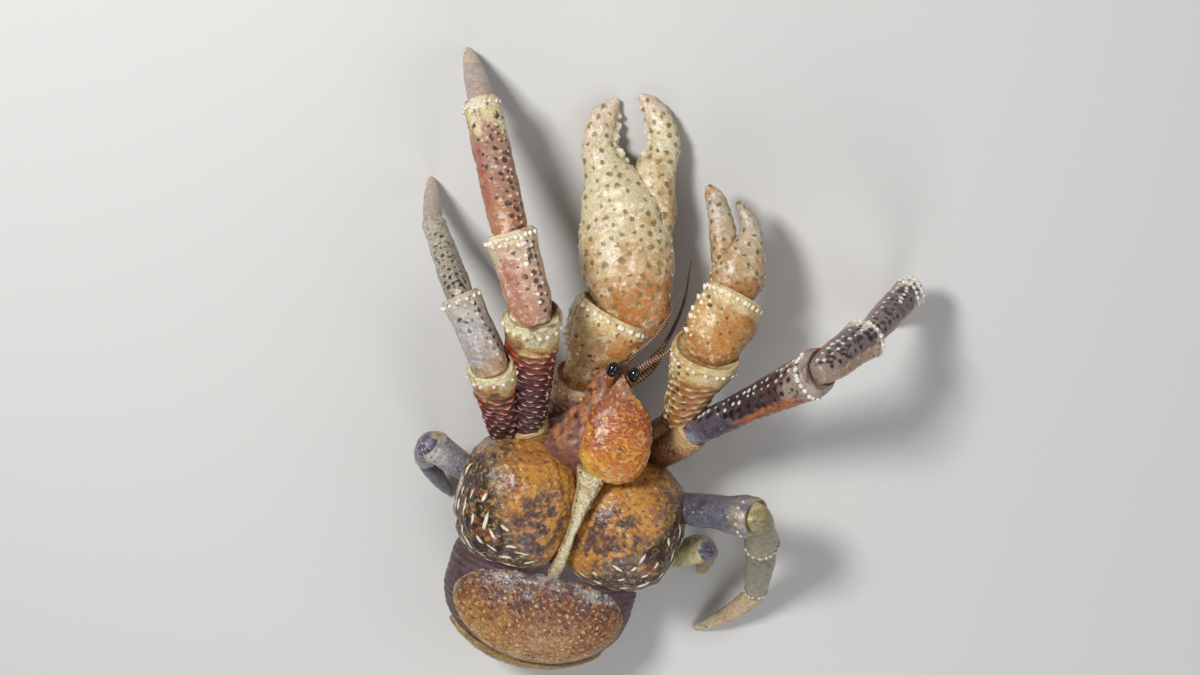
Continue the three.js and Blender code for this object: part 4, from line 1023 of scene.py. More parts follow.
# %% [markdown]
# ## How each length is dressed
# Looking along the legs, the thigh of a walking leg carries rows of scaly ridges, the wrist is
# smoother with a pale spiny collar, and the shin has rows of dark spots with white studs between.
# Studs, spots and spines come in rows of (from place, to place, how many, from angle, to angle,
# size), with angle 0 on the limb's right and 90 on top, and spines add width, lean and whiteness.
# Accents are (from place, to place, from angle, to angle). Ridges are (how many, height, slant),
# grain is (spacing, radius, height, lowest sine of the angle, whiteness), and freckles are
# (spacing, radius).
# %% Limb looks
LOOKS = {
    "hip": dict(finish="hip", wave=0.6, grain=(3.2, 1.3, 0.5, -0.2, 0.4), rim=0.8),
    "claw_l_merus": dict(
        finish="claw arm", wave=0.5, ridges=(12, 0.6, -0.9), rim=0.8,
        spines=[(0.93, 0.95, 9, 30, 160, 3.2, 1.8, 0.7, 0.8)],
    ),
    "claw_l_carpus": dict(
        finish="claw wrist", wave=1.0, grain=(6.5, 2.0, 0.6, 0.1, 0.35), rim=1.2,
        studs=[(0.3, 0.9, 8, 148, 162, 2.4), (0.2, 0.85, 7, 20, 30, 2.0), (0.4, 0.8, 5, 120, 132, 1.6)],
        spines=[(0.95, 0.95, 16, 5, 178, 2.6, 2.3, 1.0, 0.9),
                (0.42, 0.92, 6, 162, 170, 3.6, 2.6, 0.6, 0.9)],
        spots=[(0.3, 0.6, 6, 60, 130, 2.4), (0.86, 0.89, 6, 30, 150, 1.8)],
        accents=[(0.55, 0.88, 30, 80)],
    ),
    "claw_r_merus": dict(
        finish="claw wrist", wave=0.7, ridges=(12, 0.45, 0.6), rim=0.9,
        studs=[(0.25, 0.95, 11, 140, 152, 2.0), (0.5, 0.95, 7, 160, 168, 1.9)],
        spines=[(0.94, 0.95, 10, 20, 160, 2.4, 2.0, 0.8, 0.9)],
        spots=[(0.2, 0.9, 10, 122, 134, 2.2), (0.15, 0.6, 7, 80, 100, 2.6)],
        accents=[(0.2, 0.85, 60, 120)],
    ),
    "claw_r_carpus": dict(
        finish="claw wrist", wave=0.9, grain=(6.0, 1.8, 0.55, 0.1, 0.35), rim=1.0,
        studs=[(0.2, 0.9, 7, 145, 158, 2.1), (0.25, 0.9, 6, 120, 135, 1.6)],
        spines=[(0.94, 0.95, 12, 10, 170, 2.4, 2.1, 0.9, 0.9),
                (0.3, 0.9, 5, 166, 172, 3.2, 2.4, 0.5, 0.9)],
        spots=[(0.4, 0.88, 6, 90, 160, 1.9)],
        accents=[(0.15, 0.8, 10, 100)],
    ),
    "leg_2_l_merus": dict(
        finish="red arm", wave=0.5, ridges=(20, 1.0, -1.3), rim=1.3,
        studs=[(0.2, 0.8, 9, 40, 34, 1.7)],
        spines=[(0.955, 0.96, 8, 20, 160, 2.0, 2.2, 0.6, 0.8)],
    ),
    "leg_2_l_carpus": dict(
        finish="pink wrist", wave=0.7, grain=(5.0, 1.5, 0.4, 0.0, 0.35), rim=0.9,
        studs=[(0.2, 0.95, 8, 60, 66, 1.8), (0.3, 0.95, 6, 36, 44, 1.6), (0.86, 0.93, 6, 60, 150, 2.0),
               (0.1, 0.16, 3, 150, 160, 3.0)],
        spots=[(0.12, 0.9, 10, 50, 58, 2.6), (0.2, 0.88, 8, 26, 38, 2.2), (0.4, 0.8, 4, 80, 92, 2.0)],
        spines=[(0.95, 0.95, 9, 20, 165, 2.2, 2.0, 0.7, 0.9)],
        accents=[(0.1, 0.75, 95, 125), (0.2, 0.6, 140, 150)],
    ),
    "leg_2_l_propodus": dict(
        finish="pink shin", wave=0.7, rim=0.8, grain=(4.6, 1.5, 0.45, 0.0, 0.4),
        studs=[(0.05, 0.8, 12, 60, 62, 1.5), (0.08, 0.8, 12, 36, 38, 1.6)],
        spots=[(0.05, 0.85, 13, 48, 52, 2.8), (0.08, 0.82, 12, 24, 28, 2.4),
               (0.05, 0.78, 10, 72, 80, 2.3), (0.3, 0.8, 6, 100, 118, 2.2)],
        spines=[(0.955, 0.955, 8, 20, 165, 2.0, 1.8, 0.8, 0.9)],
        accents=[(0.2, 0.7, 115, 165)],
    ),
    "leg_3_l_merus": dict(
        finish="red arm", wave=0.5, ridges=(17, 1.0, -0.9), rim=1.2,
        spines=[(0.955, 0.96, 7, 20, 160, 1.9, 1.9, 0.6, 0.8)],
    ),
    "leg_3_l_carpus": dict(
        finish="grey wrist", wave=0.7, grain=(5.0, 1.5, 0.4, 0.0, 0.5), rim=0.8,
        studs=[(0.2, 0.9, 6, 50, 60, 1.5)],
        spots=[(0.3, 0.95, 8, 30, 60, 2.2), (0.6, 0.95, 5, 90, 120, 2.0)],
        spines=[(0.95, 0.95, 7, 20, 165, 2.0, 1.8, 0.7, 0.9)],
    ),
    "leg_3_l_propodus": dict(
        finish="speckled shin", wave=0.5, rim=0.7, grain=(3.8, 1.3, 0.5, -0.3, 0.6),
        spots=[(0.03, 0.7, 11, 60, 60, 2.0), (0.08, 0.75, 11, 84, 86, 1.9),
               (0.05, 0.7, 10, 108, 112, 1.9), (0.06, 0.66, 10, 34, 38, 1.8)],
    ),
    "leg_2_r_merus": dict(
        finish="dark arm", wave=0.6, rim=1.0, grain=(4.6, 1.4, 0.5, 0.0, 0.35),
        studs=[(0.12, 0.97, 18, 168, 178, 2.3), (0.35, 0.97, 12, 142, 154, 2.0),
               (0.1, 0.9, 12, 12, 30, 1.2)],
        spots=[(0.2, 0.95, 16, 152, 162, 3.0), (0.4, 0.95, 11, 120, 132, 3.1),
               (0.5, 0.95, 8, 94, 104, 2.6)],
        spines=[(0.95, 0.96, 12, 30, 190, 2.2, 2.3, 0.5, 0.9)],
        accents=[(0.4, 0.92, 0, 88)],
    ),
    "leg_2_r_carpus": dict(
        finish="dark shin", wave=0.6, rim=0.9, grain=(4.6, 1.4, 0.4, 0.0, 0.4),
        studs=[(0.05, 0.95, 9, 168, 176, 2.4), (0.1, 0.95, 8, 142, 150, 2.1)],
        spots=[(0.05, 0.9, 10, 154, 162, 3.0), (0.1, 0.9, 9, 126, 134, 3.1),
               (0.1, 0.9, 7, 102, 108, 2.5)],
        spines=[(0.95, 0.95, 10, 30, 190, 2.0, 2.0, 0.7, 0.9)],
        accents=[(0.0, 0.95, -10, 88)],
    ),
    "leg_2_r_propodus": dict(
        finish="dark shin", wave=0.6, rim=0.8, grain=(4.2, 1.3, 0.45, 0.0, 0.4),
        studs=[(0.05, 0.97, 11, 168, 176, 1.8), (0.6, 0.97, 8, 120, 145, 2.0),
               (0.9, 0.97, 7, 40, 170, 2.3)],
        spots=[(0.06, 0.9, 12, 150, 156, 2.9), (0.08, 0.9, 12, 122, 130, 3.0),
               (0.1, 0.9, 10, 92, 100, 2.6)],
        spines=[(0.95, 0.955, 12, 20, 185, 2.2, 2.3, 0.7, 1.0),
                (0.85, 0.9, 7, 60, 170, 1.8, 2.1, 0.4, 1.0)],
        accents=[(0.0, 0.9, -30, 56)],
    ),
    "leg_3_r_merus": dict(
        finish="dusky arm", wave=0.8, rim=0.9, grain=(5.5, 1.6, 0.45, 0.0, 0.25),
        studs=[(0.1, 0.95, 11, 104, 114, 1.4)],
        spines=[(0.95, 0.95, 7, 30, 165, 1.9, 1.8, 0.6, 0.8)],
    ),
    "leg_3_r_carpus": dict(
        finish="grey shin", wave=0.6, rim=1.0, grain=(4.0, 1.4, 0.35, 0.0, 0.4),
        spines=[(0.94, 0.95, 9, 10, 170, 1.8, 1.6, 0.7, 0.8)],
    ),
    "leg_3_r_propodus": dict(
        finish="grey shin", wave=0.6, rim=0.8, grain=(4.0, 1.3, 0.35, 0.0, 0.4), freckles=(8.5, 2.0),
        spines=[(0.95, 0.955, 8, 10, 170, 1.6, 1.5, 0.7, 0.8)],
    ),
    "leg_3_r_dactyl": dict(finish="cream foot", wave=0.35),
    "leg_4_l_merus": dict(finish="blue knob", wave=0.6, rim=0.9, grain=(3.6, 1.3, 0.4, -0.2, 0.5)),
    "leg_4_l_carpus": dict(
        finish="blue knob", wave=0.5, rim=0.8, grain=(3.4, 1.3, 0.4, -0.2, 0.8), freckles=(4.6, 1.7),
    ),
    "leg_4_l_hand": dict(finish="blue knob", wave=0.3, grain=(3.2, 0.9, 0.3, -0.2, 0.5)),
    "leg_4_r_merus": dict(finish="straw", wave=0.5, rim=0.9, grain=(4.5, 1.3, 0.35, -0.2, 0.5)),
    "leg_4_r_carpus": dict(finish="blue knob", wave=0.5, rim=0.8, grain=(3.4, 1.3, 0.4, -0.2, 0.7)),
    "leg_4_r_hand": dict(finish="straw", wave=0.3, grain=(3.2, 0.9, 0.3, -0.2, 0.5)),
    "dactyl": dict(finish="foot", wave=0.3, grain=(3.0, 0.8, 0.2, -0.9, 0.3)),
}
print(len(LOOKS), "limb looks")

# %% [markdown]
# ## Build the limbs
# Each length starts a little inside the socket of the one before and points its own way. A length
# with no look of its own takes the look of all lengths of its kind. A foot's tip stays just above
# the floor.
# %% Build the limbs
TIP_LENGTH = 1.0
FOOT_REST = 1.5


for limb, (root, lengths) in PLAN.items():
    place = body_point(*root)
    for order, (part, length, compass, slope, sizes) in enumerate(lengths):
        toward = heading(compass, slope)
        start = place - toward * (ROOT_SINK * MM if order else 0)
        end = place + toward * length * MM
        end[2] = max(end[2], FOOT_REST * MM)
        name = f"{limb}_{part}"
        path = straight_path(start, end)
        if name in BOWED:
            middle = (start + end) / 2 - unit(np.cross(toward, UP)) * BOWED[name] * MM
            path = bowed_path(start, middle, end)
        tip = TIP_LENGTH if part in ("dactyl", "hand") else 0
        surface = limb_surface(path, sizes, length + ROOT_SINK, tip)
        dress_limb(name, surface, LOOKS.get(name) or LOOKS[part])
        place = end

# %% [markdown]
# ## The claws
# A claw's palm is one swollen tube that narrows to the fixed finger, and the movable finger is a
# second tube hinged on its inner side. Both bend, so each follows a smooth path through its rows of
# [distance from the wrist, offset to the right, half width, half height]. Blunt white teeth line the
# gap between the fingers, and soft olive dots cover the shell.
# %% Claws
CLAW_TIP = 0.6
PALM_STUDS = [(0.05, 0.5, 9, 160, 168, 1.8), (0.08, 0.5, 8, 16, 22, 1.7)]
CLAWS = {
    "claw_l": dict(
        wrist=(-22.1, 36.8, 67), slope=-20.5, finish="big claw",
        palm=[[0, 4, 14, 12], [10, 2, 23, 19], [28, -3, 29, 24], [56, -9, 36, 27], [90, -13, 33, 25],
              [112, -20, 26, 20], [128, -26, 17, 15], [140, -30, 13.5, 13], [152, -31, 12, 11],
              [168, -26, 10, 8.5], [181, -17, 3, 3]],
        finger=[[74, 22, 3, 7], [88, 19, 9, 13], [104, 15, 13, 16], [124, 12.5, 15.5, 15],
                [138, 18, 12.5, 13.5], [152, 19.5, 11, 11.5], [166, 15, 10, 9.5], [177, 8, 6.5, 6.5],
                [184, 2, 2.5, 2.5]],
        palm_teeth=(0.7, 0.95, 8), finger_teeth=(0.52, 0.94, 8), tooth=4.6, stain=(0.02, 0.25, 15, 115),
        freckle=(7.4, 3.3),
    ),
    "claw_r": dict(
        wrist=(50.9, 67.8, 70), slope=-18, finish="small claw",
        palm=[[0, 0, 15, 12], [8, 0, 20, 16], [20, 2, 20, 17], [34, 6.5, 15.5, 15], [48, 10, 9, 12],
              [60, 8.5, 6.5, 9], [68, 4.5, 4, 6], [73, 1, 1.8, 2.5]],
        finger=[[20, -12, 3, 6], [30, -12, 7, 9], [46, -10, 10, 10.5], [60, -11.5, 9, 9], [70, -14, 8, 7.5],
                [79, -18, 6, 5], [85, -21.5, 2.5, 2.5]],
        palm_teeth=(0.8, 0.96, 6), finger_teeth=(0.55, 0.94, 8), tooth=1.5, stain=(0.0, 0.2, 20, 120),
        freckle=(6.4, 2.5),
    ),
}


def claw_surface(claw, rows):
    """A palm or finger: a smooth path through its rows, with sizes given at the rows' own shares of
    the path's length."""
    toward = heading(90, claw["slope"])
    side = unit(np.cross(toward, UP))
    wrist = np.array(claw["wrist"]) * MM
    points = np.array([wrist + (a * toward + r * side) * MM for a, r, _, _ in rows])
    steps = np.linalg.norm(np.diff(points, axis=0), axis=1)
    share = np.concatenate([[0], np.cumsum(steps)]) / steps.sum()
    sizes = [[at, wide, high] for at, (_, _, wide, high) in zip(share, rows)]
    return limb_surface(flowing_path(points), sizes, steps.sum() / MM, CLAW_TIP)


def build_claw(side_name, claw):
    """The palm and finger of one claw, each with a row of teeth on its inner side and a row of
    smaller ones above them."""
    tooth = claw["tooth"]
    for part, inner in (("palm", 0), ("finger", 180)):
        start, stop, count = claw[f"{part}_teeth"]
        look = dict(
            finish=claw["finish"], wave=0.9, grain=(7.5, 2.2, 0.5, -0.2, 0.3), freckles=claw["freckle"],
            studs=[
                (start, stop, count, inner, inner, tooth),
                (start + 0.02, stop, count, inner + 14, inner + 14, tooth * 0.6),
            ],
        )
        if part == "palm":
            look["accents"] = [claw["stain"]]
            look["studs"] += PALM_STUDS
        dress_limb(f"{side_name}_{part}", claw_surface(claw, claw[part]), look)


for side_name, claw in CLAWS.items():
    build_claw(side_name, claw)

# %% [markdown]
# ## The carapace in front
# The front of the back is a shield that ends in a short point between the eyes. It is a limb-like
# tube again, wide and low, but its relief is its own: short scales scattered over it, most of them
# lying across the body, and each with a shallow groove behind.
# %% Shield
SHIELD_PATH = [(36, 8, 117), (60, 12, 115), (86, 9, 107), (110, 5, 96)]
SHIELD_SIZES = [[0, 15, 9], [0.08, 22, 13], [0.25, 26, 15], [0.5, 25.5, 14], [0.68, 21, 11],
                [0.78, 13, 8], [0.9, 6, 5], [1, 1.2, 1.2]]
SCALE_GAP, MOST_SCALES = 5.2, 420
SCALE_LENGTHS, SCALE_WIDTHS = (1.6, 4.6), (0.8, 1.3)
SCALE_RISE, SCALE_TURN = 0.6, 0.3
GROOVE_DEPTH, GROOVE_WIDTH, GROOVE_BEHIND = 0.3, 0.8, 1.3
SHIELD_WAVE = 0.8
EDGE_LEVEL, EDGE_WIDTH = 0.28, 0.1


def build_shield():
    """The shield, with its scales and grooves, painted shade in the grooves, a yellow rear part, dark
    mottling and a pale edge.
    """
    path = body_path(SHIELD_PATH)
    surface = limb_surface(path, SHIELD_SIZES, path_length(path), TIP_LENGTH, power=2.2)
    points, angle = surface["points"], surface["angle"][None]
    centres = spread_on(surface, SCALE_GAP, -0.1, 4, MOST_SCALES)
    count = len(centres)
    random = np.random.default_rng(9)
    across = unit(RIGHTWARD + random.normal(size=(count, 1)) * SCALE_TURN * FORWARD)
    lengths = random.uniform(*SCALE_LENGTHS, count) * MM
    scale = dashes(points, centres, across, lengths, random.uniform(*SCALE_WIDTHS, count) * MM)
    behind = centres - FORWARD * GROOVE_BEHIND * MM
    groove = dashes(points, behind, across, lengths, np.full(count, GROOVE_WIDTH * MM)) * (scale < 0.05)
    lift = waves(points, 0.02, 3, 3) * SHIELD_WAVE + scale * SCALE_RISE - groove * GROOVE_DEPTH
    place = np.clip(surface["place"], 0, 1)[:, None]
    edge = np.exp(-(((np.sin(angle) - EDGE_LEVEL) / EDGE_WIDTH) ** 2)) * soft_step(place, 0.98, 0.85)
    mottling = soft_step(waves(points, 0.012, 21, 3), 0.0, 0.8) * soft_step(place, 0.0, 0.3)
    # The grooves carry a negative crest mask, which the finish turns into painted shade in them.
    shell = closed_stack(
        points + grid_normals(points) * (lift * MM)[..., None], surface["start"], surface["end"],
        along=place, top=np.sin(angle), crest=np.where(scale > 0.05, scale * 0.75, -0.6 * groove),
        stud=0.5 * edge, spot=0.6 * mottling,
        accent=soft_step(place, 0.5, 0.05) * (0.6 - 0.4 * np.cos(angle)),
    )
    add_piece("carapace_shield_shell", [shell], FINISHES["shield"], ["carapace_shield"])


build_shield()

# %% [markdown]
# ## The strip between the lobes
# Behind the shield a narrow pale plate runs back along the midline, between the two lobes. It is a
# tube like the limbs, high and squarish, and most of it is hidden between the lobes.
# %% Strip
STRIP_PATH = [(35, 1, 112), (10, 0, 114), (-25, -1, 108), (-57, -1, 95)]
STRIP_SIZES = [[0, 12, 14], [0.15, 8, 14], [0.5, 3.5, 14], [0.85, 5, 12], [1, 5, 9]]
STRIP_LOOK = dict(
    finish="strip", wave=0.6, grain=(3.0, 1.2, 0.4, 0.1, 0.7),
    spots=[(0.0, 0.98, 36, 132, 140, 1.9), (0.0, 0.98, 30, 44, 38, 1.5)],
)


def build_strip():
    """The narrow plate between the lobes, with a row of small spots along each side."""
    path = body_path(STRIP_PATH)
    surface = limb_surface(path, STRIP_SIZES, path_length(path), TIP_LENGTH, power=3.0)
    dress_limb("carapace_strip", surface, STRIP_LOOK)


build_strip()

# %% [markdown]
# ## The shape of the lobes
# Behind the neck groove the carapace swells into two lobes that cover the gills. Each is half of a
# squarish ball, cut flat at the midline and along its lower edge.
# %% Lobe shape
LOBE_CENTRE = (-12, 42, 80)
LOBE_RADII = (50, 46, 48)
LOBE_HEM = 58
MIDLINE_GAP = 0.3
LOBE_RINGS, LOBE_SIDES = 190, 300
LOBE_EDGES, LOBE_POWER = 2.6, 2.35
SWELL, SWELL_AT = 1.5, 4


def lobe_grid(sign):
    """The points of one lobe as rings of latitude, from its lowest point to its highest."""
    latitude = np.linspace(-np.pi / 2, np.pi / 2, LOBE_RINGS + 2)[1:-1]
    around = 2 * np.pi * np.arange(LOBE_SIDES) / LOBE_SIDES
    level, rise = rounded_square(latitude, LOBE_POWER)
    a, b = rounded_square(around, LOBE_EDGES)
    swell = (SWELL * np.exp(-((latitude / DEG - SWELL_AT) ** 2) / 60))[:, None]
    ahead = LOBE_CENTRE[0] + level[:, None] * b * (LOBE_RADII[0] + swell)
    right = sign * LOBE_CENTRE[1] + level[:, None] * a * (LOBE_RADII[1] + swell)
    height = LOBE_CENTRE[2] + rise[:, None] * (LOBE_RADII[2] + swell)
    height = np.broadcast_to(height, ahead.shape)
    return ahead, sign * np.maximum(sign * right, MIDLINE_GAP), np.maximum(height, LOBE_HEM)


print("a lobe has", LOBE_RINGS, "rings of", LOBE_SIDES, "points")

# %% [markdown]
# ## The lobes' relief and colours
# The middle of a lobe is orange with purple blotches, and cream dashes stand on its dark outer and
# rear margin. How far a point lies outward and rearward says which of the two it belongs to.
# %% Lobes
DASH_FROM, DASH_LOWEST, DASH_GAP = 0.24, 72, 11.0
DASH_LENGTHS, DASH_WIDTHS = (4.5, 11.0), (1.2, 1.9)
GRAIN_GAP, GRAIN_SIZE, MOST_GRAINS = 4.6, 1.7, 240
HEM_LINE, HEM_WIDTH = 3, 2.2
TURN_DOWN, TURN_DOWN_WIDTH = 87, 2.6
BLOTCH_OUT, BLOTCH_BACK = 29, 11
BLOTCH_WIDTH, BLOTCH_LENGTH = 27, 32


def margin_dashes(points, centres, middle, seed):
    """Cream dashes at the centres, each lying along the margin: level, and at right angles to the
    way out from the lobe's middle."""
    random = np.random.default_rng(seed)
    count = len(centres)
    directions = unit(np.cross(UP, centres - middle) + 0.004 * random.normal(size=(count, 3)))
    lengths = random.uniform(*DASH_LENGTHS, count) * MM
    return dashes(points, centres, directions, lengths, random.uniform(*DASH_WIDTHS, count) * MM)


def build_lobe(side_name, sign, seed):
    """One lobe: purple blotches in its middle, dashes on its dark outer and rear margin, a pale line
    where its side turns down and along its hem, and low beads on the rest."""
    ahead, right, height = lobe_grid(sign)
    points = body_point(ahead, right, height)
    hem, middle, crown = (
        body_point(LOBE_CENTRE[0], sign * LOBE_CENTRE[1], h)
        for h in (LOBE_HEM, LOBE_CENTRE[2], LOBE_CENTRE[2] + LOBE_RADII[2])
    )
    out = sign * right
    outward = (out - LOBE_CENTRE[1]) / LOBE_RADII[1]
    rearward = (LOBE_CENTRE[0] - ahead) / LOBE_RADII[0]
    corner = 0.6 * outward + 0.8 * rearward
    margin = 0.52 * soft_step(outward, -0.15, 0.95) + 0.64 * soft_step(corner, -0.1, 0.6)
    free = (height > LOBE_HEM + 2) & (out > 2)
    outer = points[free & (corner > DASH_FROM) & (height > DASH_LOWEST)]
    dash = margin_dashes(points, scattered(outer[:, None], DASH_GAP * MM, seed, 60), middle, seed)
    inner = points[free & (margin < 0.5)]
    centres = scattered(inner[:, None], GRAIN_GAP * MM, seed, MOST_GRAINS)
    grains = beads(points, centres, np.full(MOST_GRAINS, GRAIN_SIZE * MM))
    edge = np.exp(-(((height - LOBE_HEM - HEM_LINE) / HEM_WIDTH) ** 2))
    lift = free * (waves(points, 0.016, seed) * 0.8 + dash * 0.9 + grains * 0.45 + edge * 0.8)
    turn_down = np.exp(-(((height - TURN_DOWN) / TURN_DOWN_WIDTH) ** 2))
    turn_down = turn_down * (0.8 + 0.3 * waves(points, 0.012, seed + 2))
    turn_down = turn_down * np.maximum(soft_step(corner, 0.2, 0.6), 0.6 * soft_step(ahead, 12, 26))
    oval = ((out - BLOTCH_OUT) / BLOTCH_WIDTH) ** 2 + ((ahead + BLOTCH_BACK) / BLOTCH_LENGTH) ** 2
    centred = soft_step(oval, 1.2, 0.4)
    blotch = centred * soft_step(waves(points, 0.014, seed + 5, 3), -0.7, 0.2)
    inner_front = soft_step(ahead, 18, 32) * soft_step(out, 28, 6)
    outer_front = soft_step(ahead, 0, 30) * soft_step(out, 56, 74)
    shell = closed_stack(
        points + grid_normals(points) * (lift * MM)[..., None], hem, crown,
        along=margin + 0.12 * waves(points, 0.02, seed + 8), top=soft_step(height, 58, 80),
        crest=waves(points, 0.005, seed + 3) * 0.45 + grains * 0.2,
        stud=np.maximum(dash, np.maximum(edge, turn_down) * 0.75),
        spot=blotch * 0.75 * (1 - dash), accent=np.clip(inner_front + outer_front, 0, 1) * 0.7,
    )
    name = f"carapace_lobe_{side_name}"
    add_piece(f"{name}_shell", [shell], FINISHES["lobe"], [name])


build_lobe("l", -1, 11)
build_lobe("r", 1, 14)

# %% [markdown]
# ## The abdomen's plates
# The abdomen is a bag. Its plates lie on the bag like saddles: a point on a plate is given by two
# angles, one across the back and one round it from front to rear, and by its height above the bag.
# Each plate shrinks from its rim to its middle, and carries short granules, which are high on the
# big one and low on the rest.
# %% Abdomen plates
BAG_CENTRE = (-101, 1, 44.8)
BAG_RADII = (58, 76, 45.6)
PLATES = {
    "tergite_1": dict(round=38, half_round=9, half_across=44, lift=1.5, crown=1.5, finish="back plate"),
    "tergite_2": dict(
        round=93, half_round=44, half_across=62, lift=2, crown=5, grain=0.85, finish="back plate",
    ),
    "tergite_3": dict(round=161, half_round=18, half_across=54, lift=2.5, crown=1.5, finish="rear plate"),
    "tergite_4": dict(round=199, half_round=16, half_across=42, lift=2, crown=1.5, finish="rear plate"),
    "telson": dict(round=231, half_round=12, half_across=17, lift=1.5, crown=1, finish="rear plate"),
}
PLATE_POWER = 2.4
PLATE_MIDDLE = -2 * DEG
PLATE_SINK = 4
PLATE_RIM = [[1, 1], [1, 0.4], [0.998, 0.08]]
ROW_GAP, POINT_GAP = 0.75, 1.25
GRANULE_GAP, GRANULE_SIZE, MOST_GRANULES = 4.6, 2.1, 320
GRANULE_LENGTHS, GRANULE_WIDTHS = (0.7, 1.5), (0.5, 0.9)
LOW_GRAIN = 0.3
RIM_SHARE, RIM_BREADTH, RIM_LIFT = 0.955, 0.018, 0.7


def bag_point(across, turn_round, lift):
    """A point above the bag: an ellipsoid grown by the lift, with one angle from the middle out to
    the right and one from the front over the top to the rear."""
    level = np.cos(across)
    ahead = BAG_CENTRE[0] + (BAG_RADII[0] + lift) * level * np.cos(turn_round)
    right = BAG_CENTRE[1] + (BAG_RADII[1] + lift) * np.sin(across)
    height = BAG_CENTRE[2] + (BAG_RADII[2] + lift) * level * np.sin(turn_round)
    return body_point(ahead, right, height)


def build_plate(name, plate):
    """One plate: a rim that is sunk in the skin, a rounded edge, and a low crown with its relief."""
    size = plate["half_across"] * BAG_RADII[1] * DEG
    face = np.linspace(0.99, 0.008, int(size / ROW_GAP))
    share, drop = np.concatenate([PLATE_RIM, np.stack([face, 0 * face], -1)]).T
    around = np.linspace(0, 2 * np.pi, int(2 * math.pi * size / POINT_GAP), endpoint=False)
    a, b = (share[:, None] * v for v in rounded_square(around, PLATE_POWER))
    across = PLATE_MIDDLE + a * plate["half_across"] * DEG
    turn_round = plate["round"] * DEG + b * plate["half_round"] * DEG
    height = plate["lift"] + plate["crown"] * (1 - share**4) - drop * (PLATE_SINK + plate["lift"])
    height = np.broadcast_to(height[:, None], across.shape)
    points = bag_point(across, turn_round, height)
    normals = unit(bag_point(across, turn_round, height + 1) - points)
    seed = sum(map(ord, name))
    random = np.random.default_rng(seed)
    centres = scattered(points[share < 0.93], GRANULE_GAP * MM, seed, MOST_GRANULES)
    count = len(centres)
    across_way = unit(RIGHTWARD + 0.6 * random.normal(size=(count, 3)))
    lengths, widths = (
        random.uniform(*span, count) * GRANULE_SIZE * MM for span in (GRANULE_LENGTHS, GRANULE_WIDTHS)
    )
    inside = soft_step(1 - share, 0.03, 0.10)[:, None]
    caps = dashes(points, centres, across_way, lengths, widths)
    rim = np.exp(-(((share - RIM_SHARE) / RIM_BREADTH) ** 2))[:, None]
    granules = caps * plate.get("grain", LOW_GRAIN)
    lift = inside * (waves(points, 0.02, seed) * 0.5 + granules) + rim * RIM_LIFT
    white = caps * inside * (0.5 + 0.2 * waves(points, 0.02, seed + 4))
    shell = closed_stack(
        points + normals * (lift * MM)[..., None],
        bag_point(PLATE_MIDDLE, plate["round"] * DEG, -0.4 * plate["half_round"]),
        bag_point(PLATE_MIDDLE, plate["round"] * DEG, plate["lift"] + plate["crown"]),
        along=np.clip((b + 1) / 2, 0, 1), top=1.2 - 1.5 * np.abs(a) ** 3,
        crest=waves(points, 0.005, seed + 2) * 0.45, stud=np.maximum(white, rim * 0.5),
        accent=soft_step(-a, 0.72, 0.95) * 0.6,
    )
    add_piece(f"{name}_shell", [shell], FINISHES[plate["finish"]], [name])


for name, plate in PLATES.items():
    build_plate(name, plate)

# %% [markdown]
# ## One soft skin
# Under the plates the trunk and the abdomen are one soft skin. It is a single tube along the body's
# axis. The trunk and the waist have rows of [place ahead, half width, top, bottom], and the bag is an
# ellipsoid. At each place the widest, highest and lowest of the three count, and a moving average
# over the rings rounds off where one takes over from another, so the skin has no seam.
# %% Skin
TRUNK_ROWS = [[-60, 34, 88, 54], [-41, 46, 94, 45], [2, 56, 99, 38], [26, 48, 99, 38], [46, 38, 110, 38],
              [75, 21, 103, 40], [100, 15, 89, 45], [112, 11, 82, 50]]
WAIST_ROWS = [[-92, 76, 81, 39], [-68, 73, 86, 45], [-44, 50, 90, 56]]
SKIN_RINGS, SKIN_SIDES = 300, 260
SKIN_REAR, SKIN_FRONT = -159, 112
SKIN_BLEND = 6
SKIN_SQUARE = 2.2
SKIN_END = 0.3
WRINKLES, WRINKLE_BEND = 1.15, 2.2
CREST_RISE, BEND_RISE = 0.55, 0.35


def reach_of(rows, ahead):
    """Half width, top and bottom read from the rows, and nothing at all beyond their ends."""
    inside = (ahead >= rows[0][0]) & (ahead <= rows[-1][0])
    wide, high, low = smooth_rows(rows, ahead).T
    return np.where(inside, wide, 0), np.where(inside, high, -np.inf), np.where(inside, low, np.inf)


def bag_reach(ahead):
    """The same for the bag, which is an ellipsoid."""
    level = np.sqrt(np.clip(1 - ((ahead - BAG_CENTRE[0]) / BAG_RADII[0]) ** 2, 0, 1))
    high = BAG_CENTRE[2] + BAG_RADII[2] * level
    low = BAG_CENTRE[2] - BAG_RADII[2] * level
    return BAG_RADII[1] * level, np.where(level > 0, high, -np.inf), np.where(level > 0, low, np.inf)


def evened(values):
    """A moving average over neighbouring rings, weighted by a bell curve."""
    reach = np.arange(-3 * SKIN_BLEND, 3 * SKIN_BLEND + 1)
    weights = np.exp(-((reach / SKIN_BLEND) ** 2))
    padded = np.pad(values, 3 * SKIN_BLEND, mode="edge")
    return np.convolve(padded, weights / weights.sum(), mode="valid")


